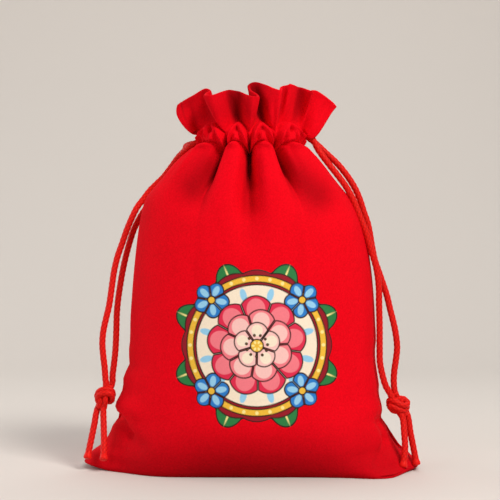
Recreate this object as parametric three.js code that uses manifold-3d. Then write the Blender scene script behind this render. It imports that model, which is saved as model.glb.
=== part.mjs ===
// Drawstring pouch of red velvet: two sewn panels, a gathered drawcord channel with a ruffle
// above it, and two satin cords that leave the channel at opposite sides and end in a knot each.
// Millimetres, +Z up, the front looks towards -Y, and the origin is on the ground under the middle.
import * as THREE from "three";
import { mergeVertices } from "three/addons/utils/BufferGeometryUtils.js";
import loadManifold from "manifold-3d";

const wasm = await loadManifold();
wasm.setup();

const { lerp } = THREE.MathUtils;

// Cloth: the pouch wall is one layer, and the hem and ruffle are the same cloth turned down inside.
const WALL = 1.2;
const HEM = 2 * WALL;
const HALF_SEAM = 0.15;

// Gathers: each panel is drawn into pleats along an oval that the cords follow.
const PLEATS = 6;
const COLUMNS = 6 * PLEATS;
const CROWDING = 0.6;
const NECK_WIDTH = 20;
const NECK_DEPTH = 13.5;
const NECK_WAVE = 1;

// Pouch sections from the ground up: height, reach to the left and right seam, length of the flat
// corner ear, depth of one panel, sharpness of the seam edge and depth of the gathered valleys.
const POUCH_SECTIONS = table(["z", "left", "right", "ear", "depth", "lens", "fold"], [
  [0, 73.5, 73.5, 16, 31, 0.5, 0],
  [1.6, 75.3, 75.3, 16.5, 33, 0.54, 0],
  [5, 73.3, 72.6, 14, 35, 0.62, 0],
  [11, 67.8, 66.8, 8, 36.2, 0.75, 0],
  [20, 62.6, 61, 3, 36.7, 0.9, 0],
  [32, 58.9, 57.8, 0, 36.7, 1, 0],
  [50, 55.6, 56.6, 0, 36.3, 1, 0],
  [72, 54.2, 55.8, 0, 35.6, 1, 0],
  [92, 52.6, 54, 0, 34.2, 1, 0],
  [108, 50.7, 49.8, 0, 32.3, 1, 0.7],
  [120, 48.4, 44.5, 0, 30, 1, 1.8],
  [129, 42.6, 38.4, 0, 27.3, 1, 3.2],
  [135.5, 37, 33.5, 0, 24.3, 1, 4.2],
  [140, 31.8, 29.6, 0, 21.4, 1, 4.6],
  [142.4, 28, 26.8, 0, 19.2, 1, 4.8],
  [143.2, 23.5, 23.5, 0, 17, 1, 5],
]);
const FULL_EAR = 8;
const EAR_SHARPNESS = 24;
const VALLEY_STRENGTHS = [0.5, 0.45, 1.15, 1.2, 1.1, 0.45, 0.5];

// Drawcord channel between its two stitch rows. Offsets are measured outwards from the neck oval.
const LOWER_STITCH = 143.2;
const UPPER_STITCH = 155.4;
const LOWER_CREST = 3.5;
const UPPER_CREST = -1.5;
const STITCH_FOLD = 5;
const VALLEY_PUFF = 2.9;
const CREST_PUFF = 5.5;
const CHANNEL_BACK = -3.4;
const CHANNEL_ROWS = [0.18, 0.5, 0.82];
const CHANNEL_END = 0.09;

// Ruffle rim at each twelfth of a panel, from the left seam to the right seam: how far it flares
// out from the neck oval and how high it stands. Even rows are crests and odd rows are valleys.
const RUFFLE_RIM = table(["flare", "height"], [
  [14, 165],
  [3.4, 170],
  [8, 167.2],
  [6.8, 168],
  [7.6, 167.2],
  [1.8, 166.5],
  [7.5, 168],
  [1.2, 171.6],
  [7.2, 170.6],
  [3, 169.6],
  [8.5, 170.6],
  [7.6, 169.2],
  [18.5, 163.4],
]);
const RUFFLE_ROWS = [0.35, 0.7, 1];
const FLARE_EASE = { left: 0.5, right: 0.85 };
const WING_DROOP = 3.2;

// Cords: each one runs round the neck in its own lane of the channel and leaves it at one side.
const CORD = 3;
const CORD_SIDES = 8;
const STRAND_STEP = 7.5;
const RUN_STEP = 5.5;
const LANE_HEIGHT = { right: 150.95, left: 147.65 };
const RUN_BEND = { reach: 21.6, spread: 2.1, drop: 0.1 };
const RUN_END = { reach: 23.6, spread: 1.9, drop: 1.05 };
const EXIT_HOLE = { from: 20.8, to: 32, depth: 8.4, above: 2.2, below: 4 };

// Free strands from the channel's side opening down to the knot, as x, y, z by hand.
const STRANDS = {
  right_strand_front: [
    [24, -1.9, 149.8], [25.9, -1.9, 149.4], [28.2, -2.3, 147.1], [30.3, -3, 143],
    [35.2, -4, 136.2], [39.2, -4.6, 131.1], [43, -5.3, 125.7], [45.8, -5.9, 120.3],
    [49, -6.4, 112.2], [51.1, -6.8, 106.8], [52.7, -7, 101.5], [54.3, -7.3, 96],
    [55.8, -7.7, 90.7], [56.7, -8.2, 85.4], [57.1, -8.7, 80], [57.1, -9, 74.7],
    [57.3, -9.4, 64], [57.3, -9.8, 53.4], [57.4, -10, 48], [58.4, -10.1, 42.7],
    [59.9, -10.2, 37.6], [61.9, -9.9, 34],
  ],
  right_strand_back: [
    [24, 1.9, 149.8], [25.6, 1.9, 149.1], [29.4, 2, 146.2], [33.4, 1.6, 142.4],
    [39.3, 0.7, 136.7], [43.6, 0, 131.3], [46.9, -0.7, 125.9], [49.2, -1.3, 120.5],
    [50.9, -1.8, 115], [52.7, -2.3, 109.6], [54.6, -3.1, 98.8], [55.7, -3.5, 93.3],
    [57.5, -4, 88], [59.3, -4.6, 82.6], [61, -5.3, 77.2], [62.2, -6, 71.8],
    [63.5, -6.6, 66.5], [64.6, -7.1, 61.2], [65.3, -7.5, 54.5], [64.8, -7.6, 49.2],
    [64, -7.6, 43.6], [63.8, -7.7, 38.7], [64.4, -8.1, 34.2],
  ],
  left_strand_front: [
    [-24, -1.9, 146.5], [-25.4, -1.8, 145.8], [-27.6, -0.4, 144.9], [-30.1, 3.9, 143.1],
    [-33.2, 8, 140.4], [-36.9, 10.8, 135.7], [-40.5, 12, 131.2], [-43, 12, 128.8],
    [-46.6, 11.4, 125.1], [-49.4, 10.4, 121.3], [-52.1, 9, 117.6], [-53.9, 7.7, 113.9],
    [-56.5, 6, 107.5], [-58.6, 4.6, 101.1], [-60.7, 3.2, 94.7], [-62.1, 2, 88.3],
    [-62.9, 0.7, 82], [-63.4, -0.4, 77.6], [-64.1, -1.5, 72.5], [-65.3, -2.4, 67.1],
    [-66.4, -3.2, 61.7], [-66.8, -3.9, 56.3], [-66.4, -4.5, 50.9], [-65.7, -5.1, 45.4],
    [-65.3, -5.6, 40.8], [-65, -5.9, 37.5],
  ],
  left_strand_back: [
    [-24, 1.9, 146.5], [-26.7, 1.5, 145.9], [-29.4, 5.1, 145.2], [-30.2, 10.2, 143.1],
    [-32, 13.2, 139], [-36, 15.4, 134.2], [-41, 16.4, 127.5], [-46, 14.4, 120.7],
    [-50.4, 11.2, 114], [-53.6, 9.2, 107.5], [-55.6, 7.7, 101.1], [-57.2, 6.4, 94.7],
    [-58.5, 5.2, 88.3], [-59.5, 4, 81.9], [-60.3, 2.6, 75.6], [-60.8, 1.5, 69.3],
    [-60.9, 0.7, 63.5], [-61, -0.2, 58], [-61.2, -1.1, 52.7], [-61.7, -2, 47.2],
    [-62.3, -2.8, 41.8], [-62.6, -3.3, 37.4],
  ],
};

// Free tails from under the knot to their sealed tips.
const TAILS = {
  right_tail_front: [[67.2, -10.6, 24.1], [67.9, -12.8, 17], [68, -15.4, 9.8], [67, -17.4, 2.6]],
  right_tail_back: [[69.7, -7.9, 24.7], [71, -9, 17], [72.3, -10.4, 9.8], [73.5, -11.8, 2.8]],
  left_tail_front: [[-66.1, -6.2, 27.1], [-65.7, -9, 19.6], [-65.1, -13.4, 12.4], [-64.8, -17.6, 5.8]],
  left_tail_back: [[-68.8, -4.3, 27], [-70.2, -6.4, 19.6], [-71.5, -8.8, 12.4], [-72.7, -11.4, 5.6]],
};

// Overhand knots: where each one sits and how far its top leans to the right, in degrees.
const KNOTS = {
  right_knot: { centre: [65.5, -9.1, 29.1], lean: -42 },
  left_knot: { centre: [-65.4, -5, 32.2], lean: 30 },
};
const KNOT_CORE = [3.4, 2.9, 5.4];
const KNOT_LOOP = 3.3;
const KNOT_LOOP_CORD = 1.55;
const KNOT_LOOP_TILTS = [-28, 24];

const VELVET = { color: "#c9061c", roughness: 0.92, metalness: 0 };
const SATIN = { color: "#dc2a22", roughness: 0.45, metalness: 0 };

// Turns rows of numbers into rows of named values.
function table(names, rows) {
  return rows.map((row) => Object.fromEntries(row.map((value, index) => [names[index], value])));
}

// Reads one column of the rim table at a share of the panel, with a smooth wave between the rows.
function rimValue(name, share) {
  const place = share * (RUFFLE_RIM.length - 1);
  const row = Math.min(Math.floor(place), RUFFLE_RIM.length - 2);
  const ease = (1 - Math.cos(Math.PI * (place - row))) / 2;
  return lerp(RUFFLE_RIM[row][name], RUFFLE_RIM[row + 1][name], ease);
}

// One mesh column of a panel: its place on the neck oval and how deep in a valley it lies.
function columnAt(index) {
  const share = index / COLUMNS;
  const turns = 2 * Math.PI * PLEATS;
  const oval = new THREE.EllipseCurve(0, 0, NECK_WIDTH, NECK_DEPTH, Math.PI, 2 * Math.PI);
  const place = oval.getPointAt(share - (CROWDING / turns) * Math.sin(turns * share));
  const side = place.x / NECK_WIDTH;
  const strengthPlace = Math.min(share * PLEATS, PLEATS - 1e-9);
  const left = Math.floor(strengthPlace);
  return {
    share,
    side,
    front: Math.max(0, -place.y / NECK_DEPTH),
    oval: place,
    out: new THREE.Vector2(side / NECK_WIDTH, place.y / NECK_DEPTH ** 2).normalize(),
    valley: (1 + Math.cos(turns * share)) / 2,
    strength: lerp(VALLEY_STRENGTHS[left], VALLEY_STRENGTHS[left + 1], strengthPlace - left),
    wing: Math.max(0, 1 - Math.min(share, 1 - share) * (RUFFLE_RIM.length - 1)),
  };
}

const columns = Array.from({ length: COLUMNS + 1 }, (_, index) => columnAt(index));

// A point of the front panel's outside at one pouch section, drawn in by a share of its valleys.
function pouchPoint(section, column, valleyShare) {
  const reach = lerp(section.left, section.right, (1 + column.side) / 2);
  const lean = Math.min(1, section.ear / FULL_EAR);
  const tip = Math.sign(column.side) * Math.abs(column.side) ** EAR_SHARPNESS;
  const base = new THREE.Vector2(
    (reach - section.ear) * column.side + section.ear * tip,
    -HALF_SEAM - WALL * lean - section.depth * column.front ** section.lens,
  );
  const out = new THREE.Vector2(section.depth * column.side, -reach * column.front).normalize();
  base.addScaledVector(out, -section.fold * column.valley * column.strength * valleyShare);
  const wave = NECK_WAVE * (section.fold / STITCH_FOLD) * (1 - 2 * column.valley);
  return new THREE.Vector3(base.x, Math.min(base.y, -HALF_SEAM), section.z + wave);
}

// A point above the lower stitch row, given by its offset from the neck oval and its height.
function neckPoint(column, offset, z, lean = 0) {
  const x = column.oval.x + column.out.x * offset;
  const y = column.oval.y + column.out.y * offset - HALF_SEAM;
  return new THREE.Vector3(x, Math.min(y, -HALF_SEAM) - lean, z);
}

// Height of the channel at a share of the way from its lower to its upper stitch row.
function channelHeight(column, rise) {
  return lerp(LOWER_STITCH, UPPER_STITCH, rise) + NECK_WAVE * (1 - 2 * column.valley);
}

// Offset of the channel's puffed outside: pleats change phase from the lower to the upper row.
function channelOffset(column, rise) {
  const lower = LOWER_CREST - STITCH_FOLD * column.valley * column.strength;
  const upper = UPPER_CREST + STITCH_FOLD * column.valley;
  const puff = lerp(CREST_PUFF, VALLEY_PUFF, column.valley);
  return lerp(lower, upper, rise) + 2 * Math.sqrt(rise * (1 - rise)) * puff;
}

// Rows of points of one panel: its outside, its inside and the tunnel that the cords lie in.
function panelRows() {
  const last = POUCH_SECTIONS.length - 1;
  const smooth = POUCH_SECTIONS.map((section) => columns.map((column) => pouchPoint(section, column, 0)));
  const outside = POUCH_SECTIONS.map((section) => columns.map((column) => pouchPoint(section, column, 1)));
  const seam = outside[0].map((point) => new THREE.Vector3(point.x, -HALF_SEAM, 0));
  const base = [seam, ...smooth];
  const inside = [seam.map((point) => new THREE.Vector3(point.x, point.y, WALL))];
  for (let row = 0; row < last; row += 1) {
    inside.push(columns.map((column, index) => insidePoint(base, row + 1, index, outside[row][index])));
  }
  const hem = (column, point) => {
    return new THREE.Vector3(
      point.x - HEM * column.out.x,
      Math.min(point.y - HEM * column.out.y, -HALF_SEAM),
      point.z,
    );
  };
  inside.push(columns.map((column, index) => hem(column, outside[last][index])));
  outside.unshift(seam);

  const channelStart = outside.length - 1;
  for (const rise of CHANNEL_ROWS) {
    outside.push(columns.map((column) => {
      return neckPoint(column, channelOffset(column, rise), channelHeight(column, rise));
    }));
    inside.push(columns.map((column) => neckPoint(column, CHANNEL_BACK, channelHeight(column, rise))));
  }
  outside.push(columns.map((column) => {
    return neckPoint(column, channelOffset(column, 1), channelHeight(column, 1));
  }));
  inside.push(columns.map((column) => {
    return neckPoint(column, channelOffset(column, 1) - HEM, channelHeight(column, 1));
  }));

  for (const rise of RUFFLE_ROWS) {
    outside.push(columns.map((column) => rufflePoint(column, rise, 0)));
    inside.push(columns.map((column) => rufflePoint(column, rise, HEM)));
  }
  return { outside, inside, channelStart, tunnel: tunnelRows() };
}

// The wall's inside under an outside point, one wall thickness down the smooth surface's normal.
function insidePoint(base, row, index, point) {
  const across = new THREE.Vector3().subVectors(
    base[row][Math.min(index + 1, COLUMNS)],
    base[row][Math.max(index - 1, 0)],
  );
  const up = new THREE.Vector3().subVectors(base[row + 1][index], base[row - 1][index]);
  const normal = across.cross(up).normalize();
  const lean = Math.min(1, POUCH_SECTIONS[row - 1].ear / FULL_EAR);
  if (index === 0 || index === COLUMNS) {
    normal.set(Math.sign(point.x) * (1 - lean), -lean, normal.z).normalize();
  }
  const inner = point.clone().addScaledVector(normal, -WALL);
  inner.y = Math.min(inner.y, -HALF_SEAM);
  inner.z = Math.max(inner.z, WALL);
  return inner;
}

// A point of the ruffle, which leaves the upper stitch row and flares out to the rim. The wings at
// the side seams droop on the way.
function rufflePoint(column, rise, depth) {
  const lean = HEM * column.wing * Math.sqrt(rise);
  const ease = rise ** lerp(FLARE_EASE.left, FLARE_EASE.right, column.share);
  const flare = lerp(channelOffset(column, 1), rimValue("flare", column.share), ease);
  const droop = WING_DROOP * column.wing * 4 * rise * (1 - rise);
  const z = lerp(channelHeight(column, 1), rimValue("height", column.share), rise) - droop;
  if (depth === 0) {
    return neckPoint(column, flare, z, lean);
  }
  return neckPoint(column, flare - depth + lean, z);
}

// The tunnel's eight corner lines, from its lower end up the outside and down the inside.
function tunnelRows() {
  const corner = (rise, offsetOf) => columns.map((column) => {
    return neckPoint(column, offsetOf(column), channelHeight(column, rise));
  });
  const middle = (rise, edge, next) => (column) => {
    const share = Math.abs(rise - edge) / Math.abs(next - edge);
    const outer = lerp(channelOffset(column, edge), channelOffset(column, next), share);
    const inner = lerp(channelOffset(column, edge) - HEM, CHANNEL_BACK, share);
    return (outer + inner) / 2;
  };
  const [low, , high] = CHANNEL_ROWS;
  const outer = CHANNEL_ROWS.map((rise) => corner(rise, (column) => channelOffset(column, rise) - WALL));
  const inner = CHANNEL_ROWS.map((rise) => corner(rise, () => CHANNEL_BACK + WALL));
  const bottom = corner(CHANNEL_END, middle(CHANNEL_END, 0, low));
  const top = corner(1 - CHANNEL_END, middle(1 - CHANNEL_END, 1, high));
  return [bottom, ...outer, top, ...inner.reverse()];
}

// Closes the rows of points into one solid wall. The back panel is the front one seen in a mirror.
function panelGeometry(mirror) {
  const { outside, inside, channelStart, tunnel } = panelRows();
  const positions = [];
  const triangles = [];
  const number = (rows) => rows.map((row) => row.map((point) => {
    positions.push(point.x, mirror ? -point.y : point.y, point.z);
    return positions.length / 3 - 1;
  }));
  const face = (a, b, c) => triangles.push(...(mirror ? [a, c, b] : [a, b, c]));
  const quad = (a, b, c, d) => {
    face(a, b, c);
    face(a, c, d);
  };
  const outer = number(outside);
  const inner = number(inside);
  const lane = number(tunnel);
  const top = outer.length - 1;

  for (let column = 0; column < COLUMNS; column += 1) {
    const next = column + 1;
    for (let row = 0; row < top; row += 1) {
      quad(outer[row][column], outer[row][next], outer[row + 1][next], outer[row + 1][column]);
      quad(inner[row][column], inner[row + 1][column], inner[row + 1][next], inner[row][next]);
    }
    lane.forEach((line, index) => {
      const beyond = lane[(index + 1) % lane.length];
      quad(line[column], beyond[column], beyond[next], line[next]);
    });
    quad(outer[top][column], outer[top][next], inner[top][next], inner[top][column]);
    quad(outer[0][next], outer[0][column], inner[0][column], inner[0][next]);
  }
  for (const column of [0, COLUMNS]) {
    const cap = (...corners) => {
      const [a, b, c] = column === 0 ? corners : corners.reverse();
      face(a, b, c);
    };
    const capRow = (from, to, row) => {
      cap(from(row), from(row + 1), to(row + 1));
      cap(from(row), to(row + 1), to(row));
    };
    const outerAt = (row) => outer[row][column];
    const innerAt = (row) => inner[row][column];
    const laneOuter = (row) => lane[row - channelStart][column];
    const laneInner = (row) => lane[(lane.length - (row - channelStart)) % lane.length][column];
    const laneTop = channelStart + CHANNEL_ROWS.length + 1;
    for (let row = 0; row < top; row += 1) {
      if (row > channelStart && row < laneTop - 1) {
        capRow(outerAt, laneOuter, row);
        capRow(laneInner, innerAt, row);
      } else if (row === channelStart) {
        capEnd(cap, outerAt, innerAt, laneOuter, laneInner, row, row + 1);
      } else if (row === laneTop - 1) {
        capEnd((a, b, c) => cap(c, b, a), outerAt, innerAt, laneOuter, laneInner, laneTop, row);
      } else {
        capRow(outerAt, innerAt, row);
      }
    }
  }
  const geometry = new THREE.BufferGeometry();
  geometry.setAttribute("position", new THREE.Float32BufferAttribute(positions, 3));
  geometry.setIndex(triangles);
  return geometry;
}

// The cut edge of the cloth round one end of the tunnel's mouth.
function capEnd(cap, outerAt, innerAt, laneOuter, laneInner, end, next) {
  cap(outerAt(end), outerAt(next), laneOuter(next));
  cap(outerAt(end), laneOuter(next), laneOuter(end));
  cap(outerAt(end), laneOuter(end), innerAt(end));
  cap(innerAt(end), laneOuter(end), laneInner(next));
  cap(innerAt(end), laneInner(next), innerAt(next));
}

// A closed geometry as a solid that can be joined and cut, and back.
function solidOf(geometry) {
  const bare = geometry.clone();
  bare.deleteAttribute("normal");
  bare.deleteAttribute("uv");
  const merged = mergeVertices(bare, 1e-4);
  return new wasm.Manifold(new wasm.Mesh({
    numProp: 3,
    vertProperties: new Float32Array(merged.attributes.position.array),
    triVerts: new Uint32Array(merged.index.array),
  }));
}

function geometryOf(solid) {
  const mesh = solid.getMesh();
  const geometry = new THREE.BufferGeometry();
  geometry.setAttribute("position", new THREE.BufferAttribute(new Float32Array(mesh.vertProperties), 3));
  geometry.setIndex(new THREE.BufferAttribute(new Uint32Array(mesh.triVerts), 1));
  return geometry;
}

// Block that opens the channel's side seam where a cord comes out.
function exitBlock(side) {
  const { from, to, depth, above, below } = EXIT_HOLE;
  const block = new THREE.BoxGeometry(to - from, depth, above + below);
  const sign = side === "right" ? 1 : -1;
  block.translate((sign * (from + to)) / 2, 0, LANE_HEIGHT[side] + (above - below) / 2);
  return solidOf(block);
}

function cutPanel(mirror) {
  const panel = solidOf(panelGeometry(mirror));
  return geometryOf(panel.subtract(exitBlock("right")).subtract(exitBlock("left")));
}

// Round cord along a smooth curve through its points.
function cordGeometry(points, step) {
  const path = new THREE.CatmullRomCurve3(points, false, "centripetal");
  const section = new THREE.Shape();
  for (let corner = 0; corner < CORD_SIDES; corner += 1) {
    const angle = (2 * Math.PI * (corner + 0.5)) / CORD_SIDES;
    const point = [(CORD / 2) * Math.cos(angle), (CORD / 2) * Math.sin(angle)];
    if (corner === 0) {
      section.moveTo(...point);
    } else {
      section.lineTo(...point);
    }
  }
  const steps = Math.max(3, Math.round(path.getLength() / step));
  return new THREE.ExtrudeGeometry(section, { steps, extrudePath: path });
}

const freeCord = (points) => cordGeometry(points.map((point) => new THREE.Vector3(...point)), STRAND_STEP);

// Hidden run of a cord: in at one side opening, once round the neck and out at the same opening.
function runGeometry(side) {
  const sign = side === "right" ? 1 : -1;
  const z = LANE_HEIGHT[side];
  const leave = (way, { reach, spread, drop }) => new THREE.Vector3(sign * reach, way * spread, z - drop);
  const points = [leave(-1, RUN_END), leave(-1, RUN_BEND)];
  const turns = 20;
  for (let index = 2; index <= turns - 2; index += 1) {
    const angle = (2 * Math.PI * index) / turns;
    points.push(new THREE.Vector3(sign * NECK_WIDTH * Math.cos(angle), -NECK_DEPTH * Math.sin(angle), z));
  }
  points.push(leave(1, RUN_BEND), leave(1, RUN_END));
  return cordGeometry(points, RUN_STEP);
}

// Overhand knot: a core with two crossing loops of the doubled cord drawn tight round it.
function knotGeometry({ centre, lean }) {
  const core = new THREE.SphereGeometry(1, 12, 8);
  core.scale(...KNOT_CORE);
  const knot = KNOT_LOOP_TILTS.reduce((solid, tilt) => {
    const loop = new THREE.TorusGeometry(KNOT_LOOP, KNOT_LOOP_CORD, 8, 16);
    loop.rotateY(THREE.MathUtils.degToRad(tilt));
    return solid.add(solidOf(loop));
  }, solidOf(core));
  const geometry = geometryOf(knot);
  geometry.rotateY(THREE.MathUtils.degToRad(lean));
  geometry.translate(...centre);
  return geometry;
}

function piece(name, geometry, finish) {
  const mesh = new THREE.Mesh(geometry, new THREE.MeshStandardMaterial(finish));
  mesh.name = name;
  return mesh;
}

const pouch = new THREE.Group();
pouch.add(piece("front_panel", cutPanel(false), VELVET));
pouch.add(piece("back_panel", cutPanel(true), VELVET));
for (const side of ["right", "left"]) {
  pouch.add(piece(`${side}_cord_run`, runGeometry(side), SATIN));
}
for (const [name, points] of Object.entries({ ...STRANDS, ...TAILS })) {
  pouch.add(piece(name, freeCord(points), SATIN));
}
for (const [name, knot] of Object.entries(KNOTS)) {
  pouch.add(piece(name, knotGeometry(knot), SATIN));
}

export default pouch;
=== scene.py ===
"""Looks of a standing drawstring pouch of red velvet with satin cords, dressed over its solids.

Tables are in millimetres and meshes in metres. +Z is up, the front looks towards -Y, and the
origin is on the ground under the middle of the pouch.
"""

import logging
from dataclasses import dataclass, field
from enum import Enum

import bpy
import numpy as np
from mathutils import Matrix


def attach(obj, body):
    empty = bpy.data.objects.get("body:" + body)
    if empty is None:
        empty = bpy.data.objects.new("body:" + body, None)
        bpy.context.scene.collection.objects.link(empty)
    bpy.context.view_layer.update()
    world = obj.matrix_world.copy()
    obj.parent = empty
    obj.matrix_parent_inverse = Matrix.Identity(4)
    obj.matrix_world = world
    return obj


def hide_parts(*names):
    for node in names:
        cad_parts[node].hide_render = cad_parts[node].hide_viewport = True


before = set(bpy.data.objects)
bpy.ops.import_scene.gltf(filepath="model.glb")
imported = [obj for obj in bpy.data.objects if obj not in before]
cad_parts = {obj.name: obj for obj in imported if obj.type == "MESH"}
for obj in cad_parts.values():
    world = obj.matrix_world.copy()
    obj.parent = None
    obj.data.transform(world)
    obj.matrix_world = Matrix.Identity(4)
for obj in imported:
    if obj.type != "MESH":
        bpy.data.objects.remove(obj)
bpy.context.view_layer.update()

LOG = logging.getLogger("pouch")
MM = 0.001
BODY = "root"
Array = np.ndarray
Colour = tuple[float, float, float]
Point = tuple[float, float, float]
Pair = tuple[float, float]
Rows = tuple[tuple[float, ...], ...]

# Shortest length that a direction is divided by.
TINY = 1e-9
# Numbers of cuts: of a table that is read backwards, of the half neck oval, of one stretch of a
# path, and of the tables for guesses on the cloth, with the number of guesses.
TABLE_CUTS = 4001
OVAL_CUTS = 2001
CURVE_CUTS = 40
GUESS_CUTS = 600
GUESSES = 4
# What brings the bump r times the square of 1 minus r to height 1.
SKEWED_PEAK = 6.75
# Share of the broad noise in the shade of the fibres.
BROAD_PART = 0.25

# Pouch sections from the ground up: height, reach to the left and right seam, length of the flat
# corner ear, depth of one panel, sharpness of the seam edge and depth of the gathered valleys.
SECTION_COLUMNS = ("z", "left", "right", "ear", "depth", "lens", "fold")
POUCH_SECTIONS = np.array([
    [0, 73.5, 73.5, 16, 30, 0.48, 0],
    [1.6, 75.3, 75.3, 16.5, 31.8, 0.53, 0],
    [5, 73.3, 72.6, 14, 33.6, 0.62, 0],
    [11, 67.8, 66.8, 8, 35.4, 0.75, 0],
    [20, 62.6, 61, 3, 36.9, 0.9, 0],
    [32, 58.9, 57.8, 0, 36.7, 1, 0],
    [50, 55.6, 56.6, 0, 36.3, 1, 0],
    [72, 54.2, 55.8, 0, 35.6, 1, 0],
    [92, 52.6, 54, 0, 34.2, 1, 0],
    [108, 50.7, 50.6, 0, 32.3, 1, 0],
    [120, 48.4, 45.9, 0, 30, 1, 0.9],
    [129, 42.6, 39.8, 0, 27.3, 1, 2.7],
    [135.5, 37, 34.6, 0, 24.3, 1, 4.2],
    [140, 32.2, 30.6, 0, 21.4, 1, 4.6],
    [142.4, 28.6, 27.6, 0, 19.2, 1, 4.8],
    [143.2, 23.5, 23.5, 0, 17, 1, 5],
])
# Pleats of the neck: share of the panel at every valley and crest in turn from the left seam, and
# how strongly each valley is drawn in.
PLEAT_SHARES = np.array([0, 0.21, 0.317, 0.395, 0.487, 0.579, 0.679, 0.79, 1])
VALLEY_STRENGTHS = np.array([0.03, 1.15, 1.2, 1.1, 0.03])
# Small gathers between the pleats: share of their height, waves over the panel, and start.
GATHER_WAVES = (
    (0.6, 17, 0.3),
    (0.4, 29, 0.1),
)

# Ruffle rim from the left seam to the right seam: share of the panel, then x, y and z of the fold.
FRONT_RIM = np.array([
    [0, -33.4, -0.3, 164],
    [0.1, -26.6, -5.2, 167],
    [0.2, -20.6, -8.6, 169.8],
    [0.24, -18.8, -11, 168.6],
    [0.275, -20.5, -14.2, 167],
    [0.305, -20.9, -17.6, 166],
    [0.335, -17.6, -20, 166],
    [0.365, -12.8, -17.6, 167.6],
    [0.395, -9.4, -14, 168.7],
    [0.425, -6.4, -13.4, 168.4],
    [0.455, -2.6, -17.4, 166.6],
    [0.49, 0.9, -20.4, 165.4],
    [0.52, 3.9, -18.2, 165.3],
    [0.545, 3.4, -14.2, 166.6],
    [0.565, 0.4, -11.6, 169],
    [0.58, -0.4, -9.4, 171.6],
    [0.6, 1.9, -8.6, 172.8],
    [0.63, 6, -10.8, 171.8],
    [0.655, 9.6, -14.8, 169.7],
    [0.68, 12.8, -17, 168.5],
    [0.705, 13.9, -14.6, 169.2],
    [0.73, 14, -12.4, 170.2],
    [0.755, 15.2, -11.9, 171],
    [0.785, 17.2, -13.4, 171.5],
    [0.82, 19.6, -9.8, 171.3],
    [0.85, 22.2, -5, 170.7],
    [0.88, 25, -5.6, 169.7],
    [0.905, 27.4, -7.2, 168.8],
    [0.92, 28, -5.4, 169.4],
    [0.935, 29.2, -4.2, 169.5],
    [0.965, 33.8, -3, 166.8],
    [1, 38.6, -0.3, 163.2],
])
BACK_RIM = np.array([
    [0, -33.4, -0.3, 164],
    [0.07, -28.6, -5.5, 166],
    [0.14, -22.4, -7.2, 168.5],
    [0.2, -18.6, -12.4, 169],
    [0.25, -15.2, -18.4, 167.6],
    [0.32, -10, -19.2, 167.4],
    [0.37, -7.4, -13.6, 168.6],
    [0.43, -3.4, -11.8, 169.4],
    [0.5, 0.6, -17.4, 168.8],
    [0.56, 5.2, -21, 168],
    [0.62, 9.4, -17.2, 168.7],
    [0.68, 11.6, -11.8, 170],
    [0.75, 15.8, -12.2, 170.2],
    [0.8, 19.6, -16.2, 169.4],
    [0.86, 24, -12.4, 169],
    [0.92, 28.8, -6.4, 168.4],
    [0.96, 33.8, -4.4, 166.2],
    [1, 38.6, -0.3, 163],
])

# Hollows of the ruffle between its lobes: share of the panel, width as a share, and depth (raised
# where negative).
RUFFLE_HOLLOWS = (
    (0.19, 0.05, 2.4),
    (0.4, 0.028, 2.8),
    (0.594, 0.018, 3.2),
    (0.636, 0.018, -2.4),
    (0.735, 0.025, 1.6),
    (0.86, 0.045, 3.4),
)

# Puckers of the side seams: height, and how far the left and the right seam stand out there.
SEAM_PUCKERS = np.array([
    [4, 0, 0],
    [7, 0.4, 0.2],
    [10, -1.1, -0.5],
    [14, -1.2, 0],
    [19, -0.4, 0.1],
    [22.5, -1.6, -0.9],
    [26, 0.7, 0.4],
    [28.5, 1, 0.7],
    [33.5, -0.4, 0],
    [37.5, 0, 0.6],
    [41.5, 0.9, 0.2],
    [46, -1.2, -0.3],
    [52, -0.1, -0.6],
    [58, -0.4, 0.3],
    [66, 0, 0],
])

# Soft folds of the front cloth: from x, z to x, z, width, and depth (raised where negative).
FRONT_FOLDS = (
    (-60.5, 23, -54.5, 16.5, 2.2, 2.2),
    (-54.5, 16.5, -49, 12.5, 3.2, 1.0),
    (-57, 29.5, -52, 25, 5, -0.9),
    (57.8, 21.5, 61.5, 14, 2, 2.2),
    (62, 12, 55.5, 5.5, 2.6, 2),
    (63.5, 10.5, 67, 8, 4, 2),
    (-0.7, 140, -0.4, 116, 4.8, 4.2),
    (-0.4, 119, -0.2, 105, 7, 2.4),
    (1.3, 134, 1.4, 127, 3.6, 2.8),
    (-3.2, 131, -3.4, 112, 4.5, 1),
    (-17, 137, -26, 122.5, 8, 2.5),
    (16, 137, 31, 119.5, 8, 2.5),
)
# Soft folds of the back cloth, in the same columns.
BACK_FOLDS = (
    (-58, 26, -51, 18, 3, 1.4),
    (57, 25, 50, 15, 3, 1.5),
    (-20, 124, -28, 104, 7, 1.2),
    (18, 126, 27, 110, 6, 1.1),
    (-6, 60, 8, 40, 16, 1.0),
)
# Painted shade in the hollows of both shoulders: from x, z to x, z, width, and strength.
SHOULDER_PAINTED_SHADE = (
    (-17.5, 134, -24.5, 125.5, 7.5, 0.72),
    (15.5, 134, 29, 122, 7.5, 0.66),
)
# Lower corners that the filling pushes forwards: x, width, the two heights between which the push
# fades, and the push.
FRONT_CORNERS = (
    (44, 16, 2, 34, 5.5),
    (54, 9, 2, 10, 8.5),
    (63, 8, 0, 3.6, 9),
    (-42, 16, 2, 24, 4),
)
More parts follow.
